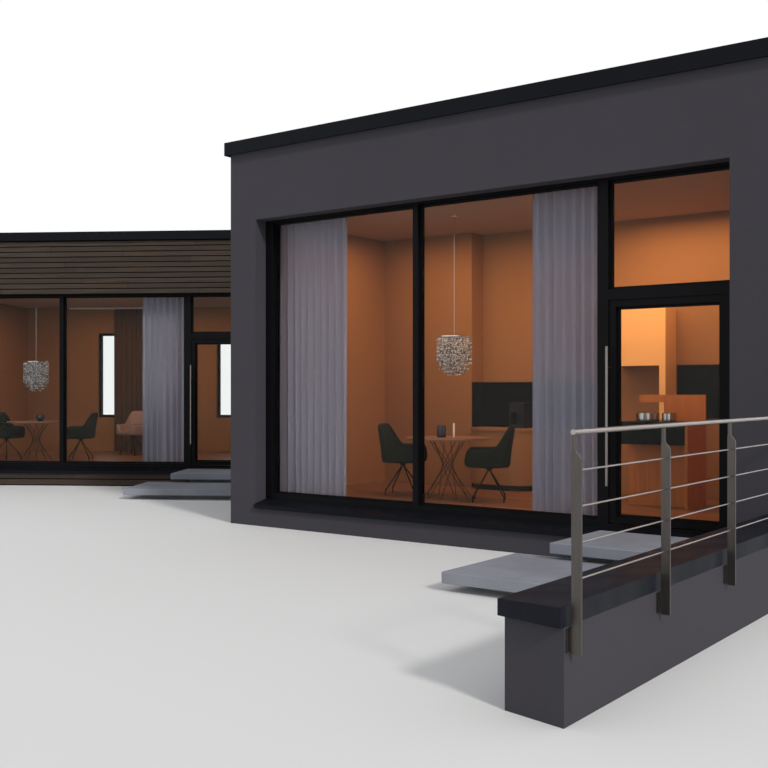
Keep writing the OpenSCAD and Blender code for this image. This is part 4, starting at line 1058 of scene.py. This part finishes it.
class BUNGALOW_OT_chandeliers(bpy.types.Operator):
    """Crystal drums on chrome hoops, hung on stems"""

    bl_idname = "bungalow.chandeliers"
    bl_label = "Chandeliers"

    def execute(self, context):
        crystal = crystal_with_painted_glints("crystal")
        chrome = lacquer_finish("chrome", (0.75, 0.75, 0.76), 0.12, metallic=1.0)
        size = sizes().crystal
        for name, front, at, diameter, height, low, ceiling in CHANDELIERS:
            move = np.array([*at, 0])
            radius, top = diameter / 2, low + height
            centres, strings = crystal_strings(diameter, height, low, size)
            parts = [hoop(radius * share, top) for share in (1.0, 0.8, 0.4)]
            parts.append(stem(top, ceiling))
            parts.extend(cross_bar(radius, top, turn) for turn in (0, 60, 120))
            points, faces = join_meshes(parts)
            meshes = (
                ("_crystals", crystal, beads(centres + move, size * 0.66, size)),
                ("_strings", chrome, beads(strings[:, :3] + move, STRING_WIDTH, strings[:, 3])),
                ("_frame", chrome, (points + move, faces)),
            )
            for ending, finish, (points, faces) in meshes:
                points = stand(points, front)
                piece = make_piece(name + ending, points, faces, finish, smooth=False)
                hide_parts("chandeliers")
            close_poles(piece)
        return {"FINISHED"}


# Tableware

# Profiles as radius and height
VASE = [
    (0, 0), (0.050, 0), (0.057, 0.008), (0.059, 0.07), (0.055, 0.12), (0.050, 0.149), (0.045, 0.150),
    (0.045, 0.145), (0.050, 0.118), (0.054, 0.07), (0.052, 0.014), (0, 0.008),
]
CANDLE = [
    (0, 0), (0.011, 0), (0.012, 0.004), (0.0115, 0.176), (0.009, 0.180),
    (0.0012, 0.180), (0.0008, 0.185), (0, 0.185),
]
BOWL = [
    (0, 0), (0.04, 0), (0.045, 0.01), (0.078, 0.06), (0.085, 0.119), (0.080, 0.120),
    (0.073, 0.062), (0.04, 0.016), (0, 0.012),
]


def pot(width, height):
    """Profile of a pot with a narrow rim, stretched to a width and a height."""
    outer = [(0, 0), (0.95, 0), (0.99, 0.05), (1, 0.12), (1, 0.90), (0.985, 0.95), (0.985, 1), (0.955, 1)]
    inner = [(0.955, 0.94), (0.963, 0.10), (0, 0.05)]
    return [(radius * width / 2, z * height) for radius, z in outer + inner]


class BUNGALOW_OT_tableware(bpy.types.Operator):
    """Vase and candle on the table, pots on the island, and a bowl on the wing's table"""

    bl_idname = "bungalow.tableware"
    bl_label = "Tableware"

    def execute(self, context):
        glaze = lacquer_finish("blue_grey_glaze", (0.030, 0.036, 0.058), 0.25)
        wax = lacquer_finish("wax", (0.86, 0.83, 0.76), 0.5)
        steel = lacquer_finish("pot_steel", (0.5, 0.48, 0.46), 0.2, metallic=1.0)
        top = ROOM_Z + TABLE_HEIGHT
        island = ROOM_Z + ISLAND_HEIGHT
        things = (
            ("vase", VASE, MAIN, TABLE, (-0.077, -0.020), top, glaze),
            ("candle", CANDLE, MAIN, TABLE, (0.068, 0.040), top, wax),
            ("pot_large", pot(0.268, 0.099), MAIN, ISLAND, (0.220, 0.300), island, steel),
            ("pot_small", pot(0.163, 0.099), MAIN, ISLAND, (0.480, 0.300), island, steel),
            ("bowl", BOWL, WING, WING_TABLE, (0.060, 0.060), top, glaze),
        )
        for name, profile, front, table, offset, z, finish in things:
            points, faces = lathe(profile, 40)
            points = points + np.array([*shifted(table, offset), z])
            piece = make_piece(name, stand(points, front), faces, finish)
            close_poles(piece)
            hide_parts("tableware")
        return {"FINISHED"}


# Stage

# Name, front, middle of the lamp along the front's axes, ceiling, length, depth and power in watts
ROOM_LAMPS = (
    ("room_light", MAIN, (2.6, 1.5), MAIN_CEILING, 3.6, 1.4, 80),
    ("kitchen_light", MAIN, (5.0, 2.0), MAIN_CEILING, 1.6, 1.4, 60),
    ("wing_light", WING, (3.6, 2.3), WING_CEILING, 4.6, 2.2, 55),
)
LAMP_DROP = 0.06
# Radii of the floor's rings, and from where to where it passes into white
FLOOR_RINGS = (0.0, 18.0, 40.0, 120.0, 400.0)
FLOOR_WHITENS = (15.0, 45.0)
# Strength of the light all round and of the key lamp
AMBIENT = 0.62
KEY = 1.7


class BUNGALOW_OT_stage(bpy.types.Operator):
    """Pale floor, soft studio light, room light and the camera"""

    bl_idname = "bungalow.stage"
    bl_label = "Stage"

    def execute(self, context):
        scene = context.scene
        scene.view_settings.view_transform = "Standard"
        self.make_world(scene)
        self.make_floor()
        self.make_lamps()
        self.make_camera(scene)
        return {"FINISHED"}

    def make_world(self, scene):
        """White behind the object and in its gloss, and a plain level of light all round."""
        world = bpy.data.worlds.new("studio")
        world.use_nodes = True
        world.node_tree.nodes.clear()
        nodes = Nodes(world.node_tree)
        white = nodes.add("ShaderNodeBackground", {"Color": (1, 1, 1, 1)})
        ambient = nodes.add("ShaderNodeBackground", {"Color": (0.96, 0.98, 1.0, 1), "Strength": AMBIENT})
        nodes.add("ShaderNodeOutputWorld", {"Surface": nodes.blend(nodes.seen(), ambient, white)})
        scene.world = world

    def make_floor(self):
        """A pale round floor that passes into white well away from the object."""
        points, faces = lathe([(radius, -HAIR) for radius in FLOOR_RINGS], 64)
        skin = Finish("stage_floor")
        skin.on(Base_Color=(0.80, 0.80, 0.80, 1), Roughness=0.9)
        floor = make_mesh("stage_floor", points, faces, skin)
        close_poles(floor)
        x, y, _ = skin.axes()
        away = skin.math("SQRT", skin.math("MULTIPLY_ADD", x, x, skin.math("MULTIPLY", y, y)))
        white = skin.add("ShaderNodeEmission", {"Color": (1, 1, 1, 1), "Strength": 1.0})
        share = skin.math("MULTIPLY", skin.between(away, *FLOOR_WHITENS), skin.seen())
        out = skin.tree.nodes["Material Output"]
        skin.set(out.inputs["Surface"], skin.blend(share, skin.shader, white))

    def make_lamps(self):
        """A soft key from the right, and warm light in the rooms that only their surfaces see."""
        key = bpy.data.lights.new("key", "SUN")
        key.energy = KEY
        key.angle = math.radians(7)
        key.color = (1.0, 0.97, 0.93)
        lamp = put("key", key)
        lamp.rotation_euler = (math.radians(58), 0, math.radians(68))
        for name, front, middle, ceiling, length, depth, power in ROOM_LAMPS:
            light = bpy.data.lights.new(name, "AREA")
            light.shape = "RECTANGLE"
            light.size = length
            light.size_y = depth
            light.energy = power
            light.color = (1.0, 0.62, 0.34)
            lamp = put(name, light)
            lamp.location = stand(np.array([*middle, ceiling - LAMP_DROP]), front).tolist()
            lamp.rotation_euler = (0, 0, front["turn"])
            lamp.visible_camera = False
            lamp.visible_glossy = False
            lamp.visible_transmission = False

    def make_camera(self, scene):
        """The camera stands in the garden at eye height, level, and looks at the main block's left half."""
        data = bpy.data.cameras.new("camera")
        data.sensor_width = 36.0
        data.lens = 49.45
        data.shift_y = 0.0074
        data.clip_end = 1000.0
        camera = put("camera", data)
        camera.location = (6.038, -15.7, 1.71)
        camera.rotation_euler = (math.radians(90), 0, math.radians(36.55))
        scene.camera = camera


STEPS = (
    BUNGALOW_OT_walls,
    BUNGALOW_OT_roof,
    BUNGALOW_OT_glazing,
    BUNGALOW_OT_railing,
    BUNGALOW_OT_cladding,
    BUNGALOW_OT_rooms,
    BUNGALOW_OT_chairs,
    BUNGALOW_OT_curtains,
    BUNGALOW_OT_chandeliers,
    BUNGALOW_OT_tableware,
    BUNGALOW_OT_stage,
)


class BUNGALOW_PT_panel(bpy.types.Panel):
    """Lists the bungalow's steps and settings"""

    bl_label = "Bungalow"
    bl_idname = "BUNGALOW_PT_panel"
    bl_space_type = "VIEW_3D"
    bl_region_type = "UI"
    bl_category = "Bungalow"

    def draw(self, context):
        for step in STEPS:
            self.layout.operator(step.bl_idname)
        for settings in (context.scene.bungalow_colours, context.scene.bungalow_sizes):
            for name in settings.bl_rna.properties.keys():
                if name not in ("rna_type", "name"):
                    self.layout.prop(settings, name)


CLASSES = (BungalowColours, BungalowSizes, *STEPS, BUNGALOW_PT_panel)


def register():
    """Registers the classes and hangs both groups of settings on the scene."""
    for cls in CLASSES:
        bpy.utils.register_class(cls)
    bpy.types.Scene.bungalow_colours = bpy.props.PointerProperty(type=BungalowColours)
    bpy.types.Scene.bungalow_sizes = bpy.props.PointerProperty(type=BungalowSizes)


def unregister():
    """Takes the settings and the classes away again."""
    del bpy.types.Scene.bungalow_colours
    del bpy.types.Scene.bungalow_sizes
    for cls in reversed(CLASSES):
        bpy.utils.unregister_class(cls)


def main():
    """Runs every step."""
    register()
    for step in STEPS:
        group, name = step.bl_idname.split(".")
        getattr(getattr(bpy.ops, group), name)()
    bpy.context.view_layer.update()


if __name__ == "__main__":
    main()
